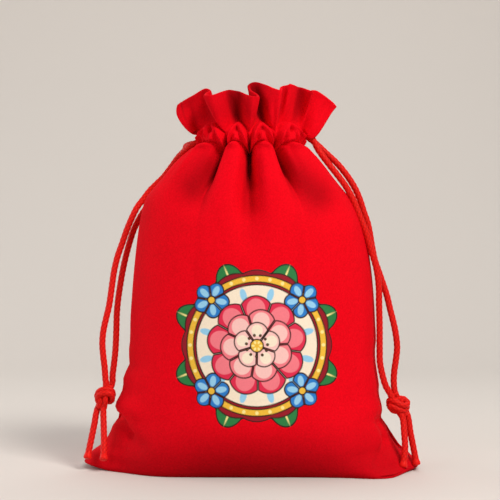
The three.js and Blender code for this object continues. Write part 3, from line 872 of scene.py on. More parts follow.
@dataclass
class ClothPanel:
    """One piece of velvet: pouch wall, drawcord channel and turned-down ruffle as a closed wall."""

    name: str
    node: str
    folds: Rows
    ruffle_rim: Array
    is_back: bool
    shape: PanelShape = field(default_factory=PanelShape)
    columns: int = 264
    edge_columns: int = 32
    edge_shares: Pair = (0.001, 0.05)
    rows_in_section: int = 6
    channel_rows: int = 18
    ruffle_rows: int = 22
    rim_rows: int = 6
    hem_fade: Pair = (153, 158)
    channel_fade: Pair = (0, 0.15)
    # Painted shade in creases, hollows, the left ruffle and low down, as shares of the panel, heights and
    # strengths.
    mean_columns: int = 241
    mean_window: int = 43
    painted_shade_depth: float = 3.2
    left_flank_fade: Pair = (0.295, 0.32)
    right_flank_fade: Pair = (0.676, 0.7)
    ruffle_painted_shade: float = 0.3
    ruffle_shade_fade: Pair = (0.5, 0.72)
    low_shade: float = 0.92
    low_fade: Pair = (0, 31)
    low_side: float = 0.5

    def outside(self, share: Array) -> Array:
        """Outside rows from the bottom seam up to the rim: pouch, channel and ruffle in turn.

        Args:
            share: Share of the panel at each column.

        Returns:
            Points, rows by columns by 3.
        """
        sections = len(POUCH_SECTIONS) - 1
        row = np.linspace(0, sections, sections * self.rows_in_section + 1)[:, None]
        pouch = self.shape.pouch(share, row, self.folds)
        seam = pouch[:1] * np.array([1, 0, 1])
        channel = self.shape.channel(share, climb(self.channel_rows))
        ruffle = self.shape.ruffle(share, climb(self.ruffle_rows), self.ruffle_rim)
        return np.concatenate([seam, pouch, channel, ruffle])

    def inside(self, share: Array, outside: Array) -> Array:
        """Inside rows: one wall thickness along the normal, then the hem behind channel and ruffle.

        Args:
            share: Share of the panel at each column.
            outside: The outside rows.

        Returns:
            Points, as many as outside.
        """
        shape = self.shape
        above = self.channel_rows + self.ruffle_rows
        normal = unit(np.cross(np.gradient(outside, axis=1), np.gradient(outside, axis=0)))
        inner = outside - shape.wall * normal
        inner[..., 1] = np.minimum(inner[..., 1], 0)
        inner[:, (0, -1), 1] = 0
        inner[..., 2] = np.maximum(inner[..., 2], outside[0, :, 2] + shape.wall)
        inner[0, :, :2] = outside[0, :, :2]
        c = shape.columns(share)
        rise = climb(self.channel_rows)
        back = mix(-shape.wall, shape.channel_back, ease(*self.channel_fade, rise))
        channel = shape.neck(c, back, shape.channel_height(c, rise))
        ruffle = outside[-self.ruffle_rows:] - shape.rim_round * normal[-self.ruffle_rows:]
        hem = shape.neck(c, shape.channel_back, ruffle[..., 2])
        ruffle = mix(hem, ruffle, ease(*self.hem_fade, ruffle[..., 2])[..., None])
        ruffle[..., 1] = np.minimum(ruffle[..., 1], 0)
        return np.concatenate([inner[:-above], channel, ruffle])

    def rim(self, outer: Array, inner: Array, below: Array) -> Array:
        """Rounded fold at the rim: half circles from the outer to the inner edge.

        Args:
            outer: Top row of the outside.
            inner: Top row of the inside.
            below: Row of the outside under its top row.

        Returns:
            Points, rows by columns by 3.
        """
        middle = (outer + inner) / 2
        half = (outer - inner) / 2
        up = unit(outer - below) * np.linalg.norm(half, axis=-1, keepdims=True)
        angle = np.linspace(0, np.pi, self.rim_rows + 2)[1:-1, None, None]
        return middle + np.cos(angle) * half + np.sin(angle) * up

    def painted_shading(self, share: Array, points: Array) -> Array:
        """Painted shade from 0 to 1, which darkens the velvet's colour.

        It tells how far a point lies behind the running mean of its row, plus painted shade in the shoulder
        hollows on both flanks and on the left part of the ruffle. Low down it is at least a painted shade
        that fades upwards.

        Args:
            share: Share of the panel at each column.
            points: Points of the panel, rows by columns by 3.

        Returns:
            The value at each point, rows by columns.
        """
        x, y, z = np.moveaxis(points, -1, 0)
        even = np.linspace(0, 1, self.mean_columns)
        depth = np.stack([np.interp(even, share, row) for row in np.abs(y)])
        window = np.hanning(self.mean_window)
        margin = self.mean_window // 2
        padded = np.pad(depth, ((0, 0), (margin, margin)), mode="reflect", reflect_type="odd")
        mean = np.stack([np.convolve(row, window / window.sum(), mode="valid") for row in padded])
        # Painted shade in creases: how far a point lies behind its row's mean.
        behind = np.clip((mean - depth) / self.painted_shade_depth, 0, 1)
        painted_shade = np.stack([np.interp(share, even, row) for row in behind])
        flank = np.maximum(1 - ease(*self.left_flank_fade, share), ease(*self.right_flank_fade, share))
        # Painted shade on the left part of the ruffle above the hem.
        ruffle_shade = self.ruffle_painted_shade * ease(*self.hem_fade, z) * (1 - ease(*self.ruffle_shade_fade, share))
        # Adds painted shade in the shoulder hollows on both flanks.
        painted_shade = np.clip(painted_shade + soft_folds(x, z, SHOULDER_PAINTED_SHADE) * flank + ruffle_shade, 0, 1)
        # Painted shade low down, fading upwards and stronger at the front.
        low = (1 - ease(*self.low_fade, z)) * mix(self.low_side, 1, self.shape.columns(share).front**2)
        return np.maximum(painted_shade, self.low_shade * low)

    def build(self, velvet: bpy.types.Material) -> bpy.types.Object:
        """Makes the panel's closed wall, with its painted shade as a value for the finish.

        Args:
            velvet: The cloth's finish.

        Returns:
            The finished piece, seated on the body.
        """
        even = np.linspace(0, 1, self.columns + 1)
        edge = np.linspace(*self.edge_shares, self.edge_columns)
        share = np.unique(np.concatenate([even, edge, 1 - edge]).round(5))
        outer = self.outside(share)
        inner = self.inside(share, outer)
        points = np.concatenate([outer, self.rim(outer[-1], inner[-1], outer[-2]), inner[::-1]])
        rows, columns = points.shape[:2]
        left_end = ring_cap(rows) * columns
        right_end = left_end[:, ::-1] + columns - 1
        faces = np.concatenate([grid_faces(rows, columns, wrap_rows=True), left_end, right_end])
        painted_shade = self.painted_shading(share, points)
        if self.is_back:
            points = points * np.array([1, -1, 1])
            faces = faces[:, ::-1]
        piece = add_piece(self.name, self.shape.bent(points).reshape(-1, 3), faces, velvet)
        add_value(piece, "painted_shade", painted_shade)
        seat(piece, "velvet", self.node)
        return piece


@dataclass(frozen=True)
class Ink:
    """Flat colours of the printed design."""

    line: Colour = (0.025, 0.006, 0.004)
    leaf: Colour = (0.02, 0.2, 0.05)
    field: Colour = (0.3, 0.002, 0.012)
    gold: Colour = (0.87, 0.5, 0.04)
    bead: Colour = (0.97, 0.82, 0.3)
    cream: Colour = (0.94, 0.8, 0.62)
    blue: Colour = (0.02, 0.2, 0.6)
    sky: Colour = (0.3, 0.62, 0.86)
    rose: Colour = (0.74, 0.02, 0.07)
    pink: Colour = (0.9, 0.2, 0.24)
    blush: Colour = (0.95, 0.56, 0.52)


@dataclass
class PrintedMedallion:
    """Generic flower medallion printed on the front cloth, as a thin film of ink."""

    shape: PanelShape
    ink: Ink = field(default_factory=Ink)
    centre_x: float = 2.5
    centre_z: float = 57
    around: int = 720
    rings: int = 126
    film: float = 0.12
    edge_drop: float = -0.05
    slope_step: float = 0.2
    outline: float = 0.55
    soft: float = 0.14
    corner_flower: float = 27.5
    search_radii: Pair = (20, 42)
    search_cuts: int = 441

    def petals(self, x: Array, z: Array, count: int, span: Point, turn: float) -> Array:
        """Signed distance to a ring of oval petals, negative inside.

        The angle is folded into one petal's sector, and the oval there is centred on the middle of
        the petal's inner and outer radius.

        Args:
            x: Places across.
            z: Places upwards.
            count: Number of petals.
            span: Inner radius, outer radius and half width of a petal.
            turn: Angle of the first petal.

        Returns:
            The distance at each place, with a narrow gap where two petals meet.
        """
        inner, outer, half_width = span
        sector = 2 * np.pi / count
        radius = np.hypot(x, z)
        angle = (np.arctan2(z, x) - turn + sector / 2) % sector - sector / 2
        along = (radius * np.cos(angle) - (inner + outer) / 2) / ((outer - inner) / 2)
        oval = (np.hypot(along, radius * np.sin(angle) / half_width) - 1) * half_width
        meeting = -radius * np.sin(sector / 2 - np.abs(angle))
        return np.maximum(oval, meeting)

    def motifs(self, x: Array, z: Array) -> list[tuple[Array, Colour, bool]]:
        """The design's layers from the bottom up, with sizes in millimetres.

        A leaf ring, a scalloped field and a beaded ring, four small flowers and a rosette of rings of
        petals, each as a signed distance.

        Args:
            x: Places across from the design's middle.
            z: Places upwards from it.

        Returns:
            For each layer the distance at each place, the colour and whether it is outlined.
        """
        ink = self.ink
        radius = np.hypot(x, z)
        scallop = radius - 31.6 - 1.1 * np.abs(np.cos(8 * np.arctan2(z, x)))
        layers = [
            (self.petals(x, z, 8, (19, 37.6, 6.4), np.pi / 8), ink.leaf, True),
            (self.petals(x, z, 8, (19, 36.2, 0.5), np.pi / 8), ink.bead, False),
            (scallop, ink.field, True),
            (np.abs(radius - 28.6) - 1.7, ink.gold, True),
            (self.petals(x, z, 32, (27.9, 29.5, 0.75), 0.0), ink.bead, False),
            (radius - 26.3, ink.cream, True),
            (self.petals(x, z, 12, (19.5, 25.2, 1.4), np.pi / 12), ink.sky, False),
        ]
        for turn in np.pi / 4 + np.pi / 2 * np.arange(4):
            u = x - self.corner_flower * np.cos(turn)
            v = z - self.corner_flower * np.sin(turn)
            layers.append((self.petals(u, v, 5, (0, 8, 3.6), turn), ink.blue, True))
            layers.append((self.petals(u, v, 5, (2, 6.6, 1.3), turn), ink.sky, False))
            layers.append((np.hypot(u, v) - 1.9, ink.gold, True))
        return layers + [
            (self.petals(x, z, 9, (6, 21.6, 7.6), 0.2), ink.rose, True),
            (self.petals(x, z, 9, (11, 20.2, 4.0), 0.2), ink.pink, False),
            (self.petals(x, z, 7, (3, 15.8, 6.4), 0.5), ink.pink, True),
            (self.petals(x, z, 7, (7, 14.4, 3.6), 0.5), ink.blush, False),
            (self.petals(x, z, 5, (0, 10.2, 5), 0.3), ink.blush, True),
            (self.petals(x, z, 5, (4, 9, 2.4), 0.3), ink.cream, False),
            (self.petals(x, z, 11, (3.9, 5.2, 0.62), 0.1), ink.gold, True),
            (radius - 3, ink.gold, True),
            (self.petals(x, z, 6, (0.9, 2.3, 0.5), 0.0), ink.bead, False),
        ]

    def colours(self, x: Array, z: Array) -> Array:
        """Paints the layers over each other, each with a dark line inside its edge where outlined.

        Args:
            x: Places across from the design's middle.
            z: Places upwards from it.

        Returns:
            Red, green and blue at each place.
        """
        line = np.array(self.ink.line)
        colour = np.broadcast_to(line, (*x.shape, 3)).copy()
        for distance, paint, outlined in self.motifs(x, z):
            if outlined:
                cover = 1 - ease(-self.soft, self.soft, distance)
                colour = mix(colour, line, cover[..., None])
                distance = distance + self.outline
            cover = 1 - ease(-self.soft, self.soft, distance)
            colour = mix(colour, np.array(paint), cover[..., None])
        return colour

    def reach(self, angle: Array) -> Array:
        """Outer radius of the design: the farthest place inside any layer, evened over five angles.

        Args:
            angle: Angles round the design's middle.

        Returns:
            The radius at each angle.
        """
        radius = np.linspace(*self.search_radii, self.search_cuts)[:, None]
        inside = np.zeros((len(radius), len(angle)), bool)
        for distance, _, _ in self.motifs(radius * np.cos(angle), radius * np.sin(angle)):
            inside |= distance < 0
        last = len(radius) - 1 - np.argmax(inside[::-1], axis=0)
        near = np.stack([np.roll(radius[last, 0], shift) for shift in (-2, -1, 0, 1, 2)])
        return near.mean(axis=0)

    def build(self, printed: bpy.types.Material) -> bpy.types.Object:
        """Makes the film just proud of the cloth, with its edge turned down into it.

        Args:
            printed: The ink's finish.

        Returns:
            The finished piece, seated on the body.
        """
        angle = 2 * np.pi * np.arange(self.around) / self.around
        radius = climb(self.rings) * self.reach(angle)[None, :]
        x = np.concatenate([[0], (radius * np.cos(angle)).ravel()])
        z = np.concatenate([[0], (radius * np.sin(angle)).ravel()])
        at_x, at_z = x + self.centre_x, z + self.centre_z
        cloth = self.shape.front_at(at_x, at_z)
        side = self.shape.front_at(at_x + self.slope_step, at_z) - cloth
        above = self.shape.front_at(at_x, at_z + self.slope_step) - cloth
        is_edge = np.arange(len(x)) > (self.rings - 1) * self.around
        proud = np.where(is_edge, self.edge_drop, self.film)
        points = cloth + unit(np.cross(side, above)) * proud[:, None]
        quads = grid_faces(self.rings, self.around, wrap_columns=True) + 1
        first = np.arange(self.around)
        fan = np.stack([np.zeros_like(first), first + 1, (first + 1) % self.around + 1], axis=1)
        faces = np.concatenate([fan, quads[:, [0, 2, 1]], quads[:, [0, 3, 2]]])
        piece = add_piece("front_print", points, faces, printed)
        ink = piece.data.attributes.new("ink", "FLOAT_COLOR", "POINT")
        rgba = np.concatenate([self.colours(x, z), np.ones((len(x), 1))], axis=1)
        ink.data.foreach_set("color", rgba.astype(np.float32).ravel())
        seat(piece, None)
        return piece


@dataclass(frozen=True)
class Braid:
    """Relief of a round braided cord: two families of helical ribs that cross as diamonds."""

    ribs: int = 5
    pitch: float = 4.6
    height: float = 0.13
    sealed: float = 0.7

    def relief(self, angle: Array, along: Array) -> Array:
        """Rib height from 0 to 1: the product of two sines of the angle plus and minus the way along."""
        way = 2 * np.pi * along / self.pitch
        return np.abs(np.sin(self.ribs * angle / 2 + way) * np.sin(self.ribs * angle / 2 - way))


@dataclass
class CordTube:
    """A braided cord along a path, with sealed ends.

    reference is a direction that the rings start at, one for the whole path or one for each point.
    A dome ring is its share of the radius and its lift.
    """

    name: str
    path: Array
    radius: Array
    braid: Braid = field(default_factory=Braid)
    sides: int = 24
    reference: Array = field(default_factory=lambda: np.array([0.0, -1.0, 0.0]))
    seal_fade: Pair = (1.2, 2.6)
    dome: tuple[Pair, ...] = ((0.92, 0.16), (0.66, 0.26), (0.04, 0.3))

    def rings(self) -> tuple[Array, Array]:
        """Rings of points round the path and their rib height.

        Each ring lies square to the path; a point stands off by the radius there plus the braid's
        relief, which fades where the cord is sealed.

        Returns:
            The points, rings by sides by 3, and the relief, rings by sides.
        """
        tangent = unit(np.gradient(self.path, axis=0))
        across = unit(np.cross(tangent, np.broadcast_to(self.reference, tangent.shape)))
        front = np.cross(across, tangent)
        angle = 2 * np.pi * np.arange(self.sides) / self.sides
        along = length_along(self.path)
        relief = self.braid.relief(angle[None, :], along[:, None])
        relief = mix(self.braid.sealed, relief, ease(*self.seal_fade, along[-1] - along)[:, None])
        reach = self.radius[:, None] - self.braid.height * (1 - relief)
        turn = angle[None, :, None]
        ring = np.cos(turn) * across[:, None] + np.sin(turn) * front[:, None]
        return self.path[:, None] + reach[..., None] * ring, relief

    def surface(self) -> tuple[Array, Array, Array]:
        """Closed tube: the rings, a dome of smaller rings at each end and a cap over each dome.

        Returns:
            The points, the faces and the relief at each point.
        """
        rings, relief = self.rings()
        share, lift = np.array(self.dome).T[..., None, None]
        first, last = self.path[0], self.path[-1]
        out_first = unit(first - self.path[1]) * self.radius[0]
        out_last = unit(last - self.path[-2]) * self.radius[-1]
        head = (first + (rings[0] - first) * share + out_first * lift)[::-1]
        foot = last + (rings[-1] - last) * share + out_last * lift
        points = np.concatenate([head, rings, foot])
        tube = grid_faces(len(points), self.sides, wrap_columns=True)[:, ::-1]
        cap = ring_cap(self.sides)
        far_cap = cap[:, ::-1] + (len(points) - 1) * self.sides
        sealed = np.full((len(self.dome), self.sides), self.braid.sealed)
        ribs = np.concatenate([sealed, relief, sealed]).ravel()
        return points.reshape(-1, 3), np.concatenate([tube, cap, far_cap]), ribs

    def build(self, satin: bpy.types.Material) -> bpy.types.Object:
        """Makes the tube's mesh with its rib height as a value for the finish.

        Args:
            satin: The cord's finish.

        Returns:
            The new piece.
        """
        points, faces, relief = self.surface()
        piece = add_piece(self.name, points, faces, satin)
        add_value(piece, "rib", relief)
        return piece


@dataclass
class Knot:
    """Overhand knot tied in a doubled cord and drawn tight."""

    name: str
    centre: Point
    turns: tuple[Point, ...]
    cord_radius: float = 1.36
    pair_gap: float = 1.18
    step: float = 0.35
    sides: int = 20

    def build(self, satin: bpy.types.Material) -> bpy.types.Object:
        """Makes both cords of the turns as one piece, side by side on the knot's round.

        The middle line goes through given points that tell how far right, up and forwards of the
        knot's middle it lies. Each cord is offset along the cross product of the line's direction and
        its way out from the middle.

        Args:
            satin: The cord's finish.

        Returns:
            The new piece.
        """
        right, up, forwards = np.array(self.turns, float).T
        line = smooth_path(np.stack([right, -forwards, up], axis=1), self.step)
        beside = self.pair_gap * unit(np.cross(unit(np.gradient(line, axis=0)), line))
        radius = np.full(len(line), self.cord_radius)
        points, faces, ribs = [], [], []
        for path in (line - beside, line + beside):
            tube = CordTube(self.name, path, radius, sides=self.sides, reference=unit(line))
            skin, skin_faces, relief = tube.surface()
            faces.append(skin_faces + sum(len(part) for part in points))
            points.append(skin + np.array(self.centre))
            ribs.append(relief)
        piece = add_piece(self.name, np.concatenate(points), np.concatenate(faces), satin)
        add_value(piece, "rib", np.concatenate(ribs))
        return piece


@dataclass
class SideCord:
    """One cord: its run in the channel, two free strands with their tails, and the knot in both.

    A run end is its x, its half gap and its drop under the lane.
    """

    side: Side
    knot_centre: Point
    lane_height: float
    shape: PanelShape = field(default_factory=PanelShape)
    diameter: float = 3
    step: float = 0.4
    tip_flare: float = 0.35
    tip_place: float = 0.5
    tip_length: float = 1.2
    knot_squeeze: float = 0.35
    knot_reach: float = 3.5
    run_step: float = 1.0
    run_sides: int = 12
    run_cuts: int = 20
    run_ends: tuple[Point, ...] = ((23.6, 1.9, 1.05), (21.6, 2.1, 0.1))

    def strand_path(self, word: str) -> Array:
        """Path of a strand from the channel through the knot to its sealed tip."""
        points = STRANDS[f"{self.side.word}_strand_{word}"] + TAILS[f"{self.side.word}_tail_{word}"]
        return smooth_path(np.array(points, float), self.step)

    def strand_radius(self, path: Array) -> Array:
        """Radius along a strand: even, squeezed by a bell in the knot and flared by one at the tip.

        Args:
            path: Points of the strand.

        Returns:
            The radius at each point.
        """
        from_knot = np.linalg.norm(path - np.array(self.knot_centre), axis=1)
        from_tip = np.arange(len(path))[::-1] * self.step
        flare = self.tip_flare * bell(from_tip - self.tip_place, self.tip_length)
        return self.diameter / 2 - self.knot_squeeze * bell(from_knot, self.knot_reach) + flare

    def run_path(self) -> Array:
        """Path of the hidden run: out of the side opening, round the neck oval and back.

        Returns:
            Points of the run.
        """
        sign = self.side.value
        angle = 2 * np.pi * np.arange(2, self.run_cuts - 1) / self.run_cuts
        ring = np.stack([
            sign * self.shape.neck_width * np.cos(angle),
            -self.shape.neck_depth * np.sin(angle),
            np.full(angle.shape, self.lane_height),
        ], axis=1)
        out = np.array([(sign * x, -gap, self.lane_height - drop) for x, gap, drop in self.run_ends])
        back = out[::-1] * np.array([1, -1, 1])
        return smooth_path(np.concatenate([out, ring, back]), self.run_step)

    def build_run(self, satin: bpy.types.Material) -> bpy.types.Object:
        """Makes the hidden run in the channel.

        Args:
            satin: The cord's finish.

        Returns:
            The piece, seated on the body.
        """
        path = self.run_path()
        radius = np.full(len(path), self.diameter / 2)
        upwards = np.array([0.0, 0.0, 1.0])
        name = f"{self.side.word}_run_braid"
        piece = CordTube(name, path, radius, sides=self.run_sides, reference=upwards).build(satin)
        seat(piece, "cord", f"{self.side.word}_cord_run")
        return piece

    def build(self, satin: bpy.types.Material) -> list[bpy.types.Object]:
        """Args:
            satin: The cord's finish.

        Returns:
            The pieces, seated on the body.
        """
        word = self.side.word
        run = self.build_run(satin)
        knot = Knot(f"{word}_knot_turns", self.knot_centre, KNOT_TURNS[word]).build(satin)
        seat(knot, "cord", f"{word}_knot")
        pieces = [run, knot]
        for place in ("front", "back"):
            path = self.strand_path(place)
            piece = CordTube(f"{word}_cord_{place}", path, self.strand_radius(path)).build(satin)
            seat(piece, "cord", f"{word}_strand_{place}", f"{word}_tail_{place}")
            pieces.append(piece)
        return pieces


class NodeTree:
    """Small helper that adds and links shader nodes."""

    def __init__(self, tree: bpy.types.NodeTree) -> None:
        """Keeps the tree and clears it."""
        self.tree = tree
        tree.nodes.clear()

    def add(self, kind: str, **values: object) -> bpy.types.Node:
        """Adds a node and sets its properties and its inputs by name.

        Args:
            kind: The node's type name, without its ShaderNode prefix.
            values: Properties in lower case, and inputs with underscores for spaces.

        Returns:
            The new node.
        """
        node = self.tree.nodes.new(kind if kind.startswith("Node") else f"ShaderNode{kind}")
        for name, value in values.items():
            if hasattr(node, name):
                setattr(node, name, value)
            else:
                node.inputs[name.replace("_", " ")].default_value = value
        return node

    def link(self, source: bpy.types.NodeSocket, target: bpy.types.NodeSocket) -> None:
        """Joins an output to an input."""
        self.tree.links.new(source, target)


def pile_group() -> bpy.types.NodeTree:
    """Shared effect of short fibres: a mottled shade and a height, both from two sizes of noise.

    Returns:
        The group, with inputs Vector, Fine and Broad and outputs Shade and Height.
    """
    group = bpy.data.node_groups.new("pile", "ShaderNodeTree")
    face = group.interface
    face.new_socket("Vector", in_out="INPUT", socket_type="NodeSocketVector")
    for name, value in (("Fine", 1500.0), ("Broad", 90.0)):
        face.new_socket(name, in_out="INPUT", socket_type="NodeSocketFloat").default_value = value
    for name in ("Shade", "Height"):
        face.new_socket(name, in_out="OUTPUT", socket_type="NodeSocketFloat")
    nodes = NodeTree(group)
    entry = nodes.add("NodeGroupInput")
    leave = nodes.add("NodeGroupOutput")
    fine = nodes.add("TexNoise", Detail=2.0, Roughness=0.6)
    broad = nodes.add("TexNoise", Detail=3.0, Roughness=0.5, Distortion=0.6)
    for noise, scale in ((fine, "Fine"), (broad, "Broad")):
        nodes.link(entry.outputs["Vector"], noise.inputs["Vector"])
        nodes.link(entry.outputs[scale], noise.inputs["Scale"])
    broad_part = nodes.add("Math", operation="MULTIPLY")
    broad_part.inputs[1].default_value = BROAD_PART
    shade = nodes.add("Math", operation="MULTIPLY_ADD")
    shade.inputs[1].default_value = 1 - BROAD_PART
    nodes.link(broad.outputs["Fac"], broad_part.inputs[0])
    nodes.link(fine.outputs["Fac"], shade.inputs[0])
    nodes.link(broad_part.outputs[0], shade.inputs[2])
    nodes.link(shade.outputs[0], leave.inputs["Shade"])
    nodes.link(fine.outputs["Fac"], leave.inputs["Height"])
    return group


class FibreMaterial:
    """A material on the shared fibre group, whose shader gets its colour and roughness from a finish."""

    def __init__(
        self, name: str, pile: bpy.types.NodeTree, sizes: Pair, relief: Pair, **look: object
    ) -> None:
        """Makes the fibres, their bump and the shader.

        Args:
            name: The material's name.
            pile: The shared fibre group.
            sizes: Scale of the fine and of the broad noise.
            relief: Strength and distance of the bump.
            look: Values of the shader's inputs.
        """
        self.result = bpy.data.materials.new(name)
        self.result.use_nodes = True
        self.nodes = NodeTree(self.result.node_tree)
        place = self.nodes.add("TexCoord")
        fibre = self.nodes.add("Group", node_tree=pile, Fine=sizes[0], Broad=sizes[1])
        bump = self.nodes.add("Bump", Strength=relief[0], Distance=relief[1])
        self.shader = self.nodes.add("BsdfPrincipled", **look)
        leave = self.nodes.add("OutputMaterial")
        self.nodes.link(place.outputs["Object"], fibre.inputs["Vector"])
        self.nodes.link(fibre.outputs["Height"], bump.inputs["Height"])
        self.nodes.link(bump.outputs["Normal"], self.shader.inputs["Normal"])
        self.nodes.link(self.shader.outputs["BSDF"], leave.inputs["Surface"])
        self.shade = fibre.outputs["Shade"]

    def attribute(self, name: str) -> bpy.types.Node:
        """Adds a node that reads a value stored with the points."""
        return self.nodes.add("Attribute", attribute_name=name)

    def between(self, value: bpy.types.NodeSocket, low: float, high: float) -> bpy.types.NodeSocket:
        """Brings a value from 0 to 1 to the range between two others.

        Args:
            value: The value.
            low: What 0 becomes.
            high: What 1 becomes.

        Returns:
            The new value's socket.
        """
        span = self.nodes.add("MapRange", To_Min=low, To_Max=high)
        self.nodes.link(value, span.inputs["Value"])
        return span.outputs["Result"]

    def blend(
        self, value: bpy.types.NodeSocket, places: Pair, colours: tuple[Colour, Colour]
    ) -> bpy.types.NodeSocket:
        """Turns a value into a colour between two others.

        Args:
            value: The value.
            places: Values at which the two colours are full.
            colours: The two colours.

        Returns:
            The colour's socket.
        """
        ramp = self.nodes.add("ValToRGB")
        for stop, place, colour in zip(ramp.color_ramp.elements, places, colours):
            stop.position = place
            stop.color = (*colour, 1)
        self.nodes.link(value, ramp.inputs["Fac"])
        return ramp.outputs["Color"]

    def scaled(self, colour: bpy.types.NodeSocket, value: bpy.types.NodeSocket) -> bpy.types.NodeSocket:
        """Makes a colour darker or lighter by a value.

        Args:
            colour: The colour.
            value: What it is multiplied by.

        Returns:
            The new colour's socket.
        """
        tint = self.nodes.add("VectorMath", operation="SCALE")
        self.nodes.link(colour, tint.inputs[0])
        self.nodes.link(value, tint.inputs["Scale"])
        return tint.outputs["Vector"]

    def finish(self, colour: bpy.types.NodeSocket, roughness: bpy.types.NodeSocket) -> bpy.types.Material:
        """Gives the shader its colour and roughness.

        Args:
            colour: Socket of the colour.
            roughness: Socket of the roughness.

        Returns:
            The finished material.
        """
        self.nodes.link(colour, self.shader.inputs["Base Color"])
        self.nodes.link(roughness, self.shader.inputs["Roughness"])
        return self.result


@dataclass(frozen=True)
class VelvetFinish:
    """Short-pile velvet: mottled red, rough, with a soft sheen, and darkened by painted shade."""

    deep: Colour = (0.68, 0.0004, 0.006)
    lit: Colour = (0.82, 0.0008, 0.009)
    tones: Pair = (0.3, 0.62)
    sheen: Colour = (1.0, 0.03, 0.05)
    painted_shade_scale: float = 0.35
    roughness: Pair = (0.78, 0.98)

    def material(self, pile: bpy.types.NodeTree) -> bpy.types.Material:
        """Makes the material.

        Args:
            pile: The shared fibre group.

        Returns:
            The finish for the panels.
        """
        cloth = FibreMaterial(
            "red_velvet",
            pile,
            sizes=(1100.0, 70.0),
            relief=(0.35, 0.0004),
            Specular_IOR_Level=0.06,
            Sheen_Weight=0.15,
            Sheen_Roughness=0.4,
            Sheen_Tint=(*self.sheen, 1),
        )
        painted_shade = cloth.attribute("painted_shade").outputs["Fac"]
        mottled = cloth.blend(cloth.shade, self.tones, (self.deep, self.lit))
        # The colour is darkened by the painted shade value.
        colour = cloth.scaled(mottled, cloth.between(painted_shade, 1.0, self.painted_shade_scale))
        return cloth.finish(colour, cloth.between(cloth.shade, *self.roughness))


@dataclass(frozen=True)
class SatinFinish:
    """Silky braided cord: smoother on the ribs than between them, with painted shade that darkens the
    colour between them.
    """

    # The colour between the ribs is darker as painted shade; the rib colour is the cord's own.
    groove: Colour = (0.45, 0.005, 0.005)
    rib: Colour = (0.76, 0.014, 0.011)
    tones: Pair = (0.15, 0.85)
    gloss: Colour = (1.0, 0.45, 0.35)
    sheen: Colour = (1.0, 0.12, 0.08)
    fibre_part: float = 0.5
    roughness: Pair = (0.5, 0.3)

    def material(self, pile: bpy.types.NodeTree) -> bpy.types.Material:
        """Makes the material.

        Args:
            pile: The shared fibre group.

        Returns:
            The finish for the cords.
        """
        cord = FibreMaterial(
            "satin_cord",
            pile,
            sizes=(2600.0, 240.0),
            relief=(0.3, 0.0002),
            Specular_IOR_Level=0.12,
            Specular_Tint=(*self.gloss, 1),
            Sheen_Weight=0.05,
            Sheen_Roughness=0.3,
            Sheen_Tint=(*self.sheen, 1),
        )
        rib = cord.attribute("rib").outputs["Fac"]
        tone = cord.nodes.add("Math", operation="MULTIPLY_ADD", use_clamp=True)
        tone.inputs[1].default_value = self.fibre_part
        cord.nodes.link(cord.shade, tone.inputs[0])
        cord.nodes.link(rib, tone.inputs[2])
        # Painted shade: the colour runs from the darker groove colour to the rib colour with the rib
        # height.
        colour = cord.blend(tone.outputs[0], self.tones, (self.groove, self.rib))
        return cord.finish(colour, cord.between(rib, *self.roughness))


@dataclass(frozen=True)
class PrintFinish:
    """Matt printing ink that lets the cloth's texture through."""

    wear: Pair = (0.86, 1.04)
    roughness: Pair = (0.5, 0.7)

    def material(self, pile: bpy.types.NodeTree) -> bpy.types.Material:
        """Makes the material.

        Args:
            pile: The shared fibre group.

        Returns:
            The finish for the printed film.
        """
        film = FibreMaterial(
            "printed_ink", pile, sizes=(1400.0, 120.0), relief=(0.2, 0.0002), Specular_IOR_Level=0.25
        )
        ink = film.attribute("ink").outputs["Color"]
        colour = film.scaled(ink, film.between(film.shade, *self.wear))
        return film.finish(colour, film.between(film.shade, *self.roughness))


@dataclass(frozen=True)
class SoftLight:
    """A soft square light that looks at the middle of the pouch, with its place in metres."""

    name: str
    place: Point
    size: float
    power: float
    colour: Colour
    target: Point = (0, 0, 0.08)

    def build(self) -> None:
        """Adds the light, pitched up from straight down and then turned towards its target."""
        lamp = bpy.data.lights.new(self.name, "AREA")
        lamp.size = self.size
        lamp.energy = self.power
        lamp.color = self.colour
        holder = bpy.data.objects.new(self.name, lamp)
        x, y, z = np.array(self.target) - np.array(self.place)
        holder.location = self.place
        holder.rotation_euler = (np.arctan2(np.hypot(x, y), -z), 0, np.arctan2(-x, y))
        bpy.context.scene.collection.objects.link(holder)


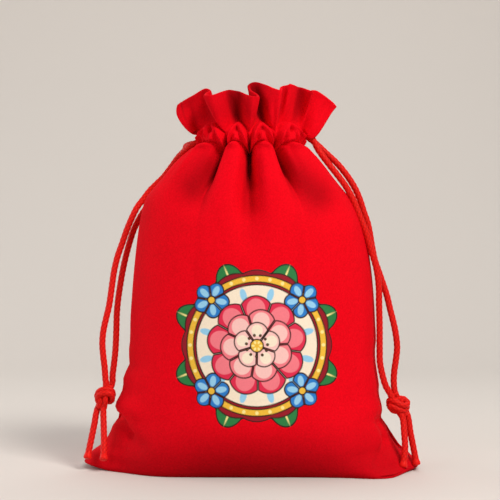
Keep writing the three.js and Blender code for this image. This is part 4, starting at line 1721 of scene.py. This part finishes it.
@dataclass(frozen=True)
class Studio:
    """Pale floor that sweeps up behind the pouch, soft lights and the camera."""

    floor: Colour = (0.62, 0.58, 0.54)
    floor_roughness: float = 0.9
    floor_drop: float = 0.05
    half_width: float = 1500
    front_edge: float = -1200
    bend_start: float = 500
    bend_radius: float = 400
    bend_cuts: int = 16
    wall_height: float = 1600
    room: Colour = (1, 0.98, 0.96)
    room_strength: float = 0.2
    camera_place: Point = (-0.45, -650, 97.9)
    camera_lens: float = 103.5
    camera_sensor: float = 36
    camera_near: float = 0.01
    lights: tuple[SoftLight, ...] = (
        SoftLight("key_light", (0.55, -0.75, 0.95), 0.4, 14, (1.0, 0.97, 0.93)),
        SoftLight("fill_light", (-0.9, -0.7, 0.5), 0.8, 3, (0.95, 0.97, 1.0)),
        SoftLight("side_light", (-0.85, 0.3, 0.4), 0.6, 3, (1.0, 0.97, 0.95)),
        SoftLight("top_light", (0.1, 0.4, 1.0), 0.7, 4, (1.0, 1.0, 1.0)),
    )

    def build_sweep(self) -> None:
        """Makes the floor: flat, then a quarter circle, then a wall."""
        angle = np.linspace(0, np.pi / 2, self.bend_cuts)
        bend_y = self.bend_start + self.bend_radius * np.sin(angle)
        bend_z = self.bend_radius * (1 - np.cos(angle))
        y = np.concatenate([[self.front_edge], bend_y, bend_y[-1:]])
        z = np.concatenate([[0], bend_z, [self.wall_height]]) - self.floor_drop
        x = np.array([-self.half_width, self.half_width])
        points = np.stack(np.broadcast_arrays(x[None, :], y[:, None], z[:, None]), axis=-1)
        material = bpy.data.materials.new("pale_floor")
        material.use_nodes = True
        shader = material.node_tree.nodes["Principled BSDF"]
        shader.inputs["Base Color"].default_value = (*self.floor, 1)
        shader.inputs["Roughness"].default_value = self.floor_roughness
        sweep = add_piece("pale_floor", points.reshape(-1, 3), grid_faces(len(y), 2), material)

    def build_camera(self) -> None:
        """Makes the camera of the photograph, level and looking along +Y."""
        lens = bpy.data.cameras.new("photo_camera")
        lens.lens = self.camera_lens
        lens.sensor_width = self.camera_sensor
        lens.clip_start = self.camera_near
        camera = bpy.data.objects.new("photo_camera", lens)
        camera.location = tuple(value * MM for value in self.camera_place)
        camera.rotation_euler = (np.pi / 2, 0, 0)
        bpy.context.scene.collection.objects.link(camera)
        bpy.context.scene.camera = camera

    def build(self) -> None:
        """Makes the sweep, the lights, the surrounding light and the camera."""
        self.build_sweep()
        for light in self.lights:
            light.build()
        world = bpy.data.worlds.new("soft_room")
        world.use_nodes = True
        room = world.node_tree.nodes["Background"]
        room.inputs["Color"].default_value = (*self.room, 1)
        room.inputs["Strength"].default_value = self.room_strength
        bpy.context.scene.world = world
        self.build_camera()
        bpy.context.scene.view_settings.view_transform = "Standard"


def main() -> None:
    """Builds the studio, the panels and the cords in order."""
    logging.basicConfig(level=logging.INFO, format="%(name)s: %(message)s")
    Studio().build()
    pile = pile_group()
    velvet = VelvetFinish().material(pile)
    satin = SatinFinish().material(pile)
    shape = PanelShape()
    front = ClothPanel("front_velvet", "front_panel", FRONT_FOLDS, FRONT_RIM, is_back=False, shape=shape)
    back = ClothPanel("back_velvet", "back_panel", BACK_FOLDS, BACK_RIM, is_back=True, shape=shape)
    front_piece = front.build(velvet)
    back_piece = back.build(velvet)
    medallion = PrintedMedallion(shape).build(PrintFinish().material(pile))
    SideCord(Side.RIGHT, knot_centre=(65.5, -9.1, 29.1), lane_height=150.95, shape=shape).build(satin)
    SideCord(Side.LEFT, knot_centre=(-65.4, -5, 32.2), lane_height=147.65, shape=shape).build(satin)


if __name__ == "__main__":
    main()
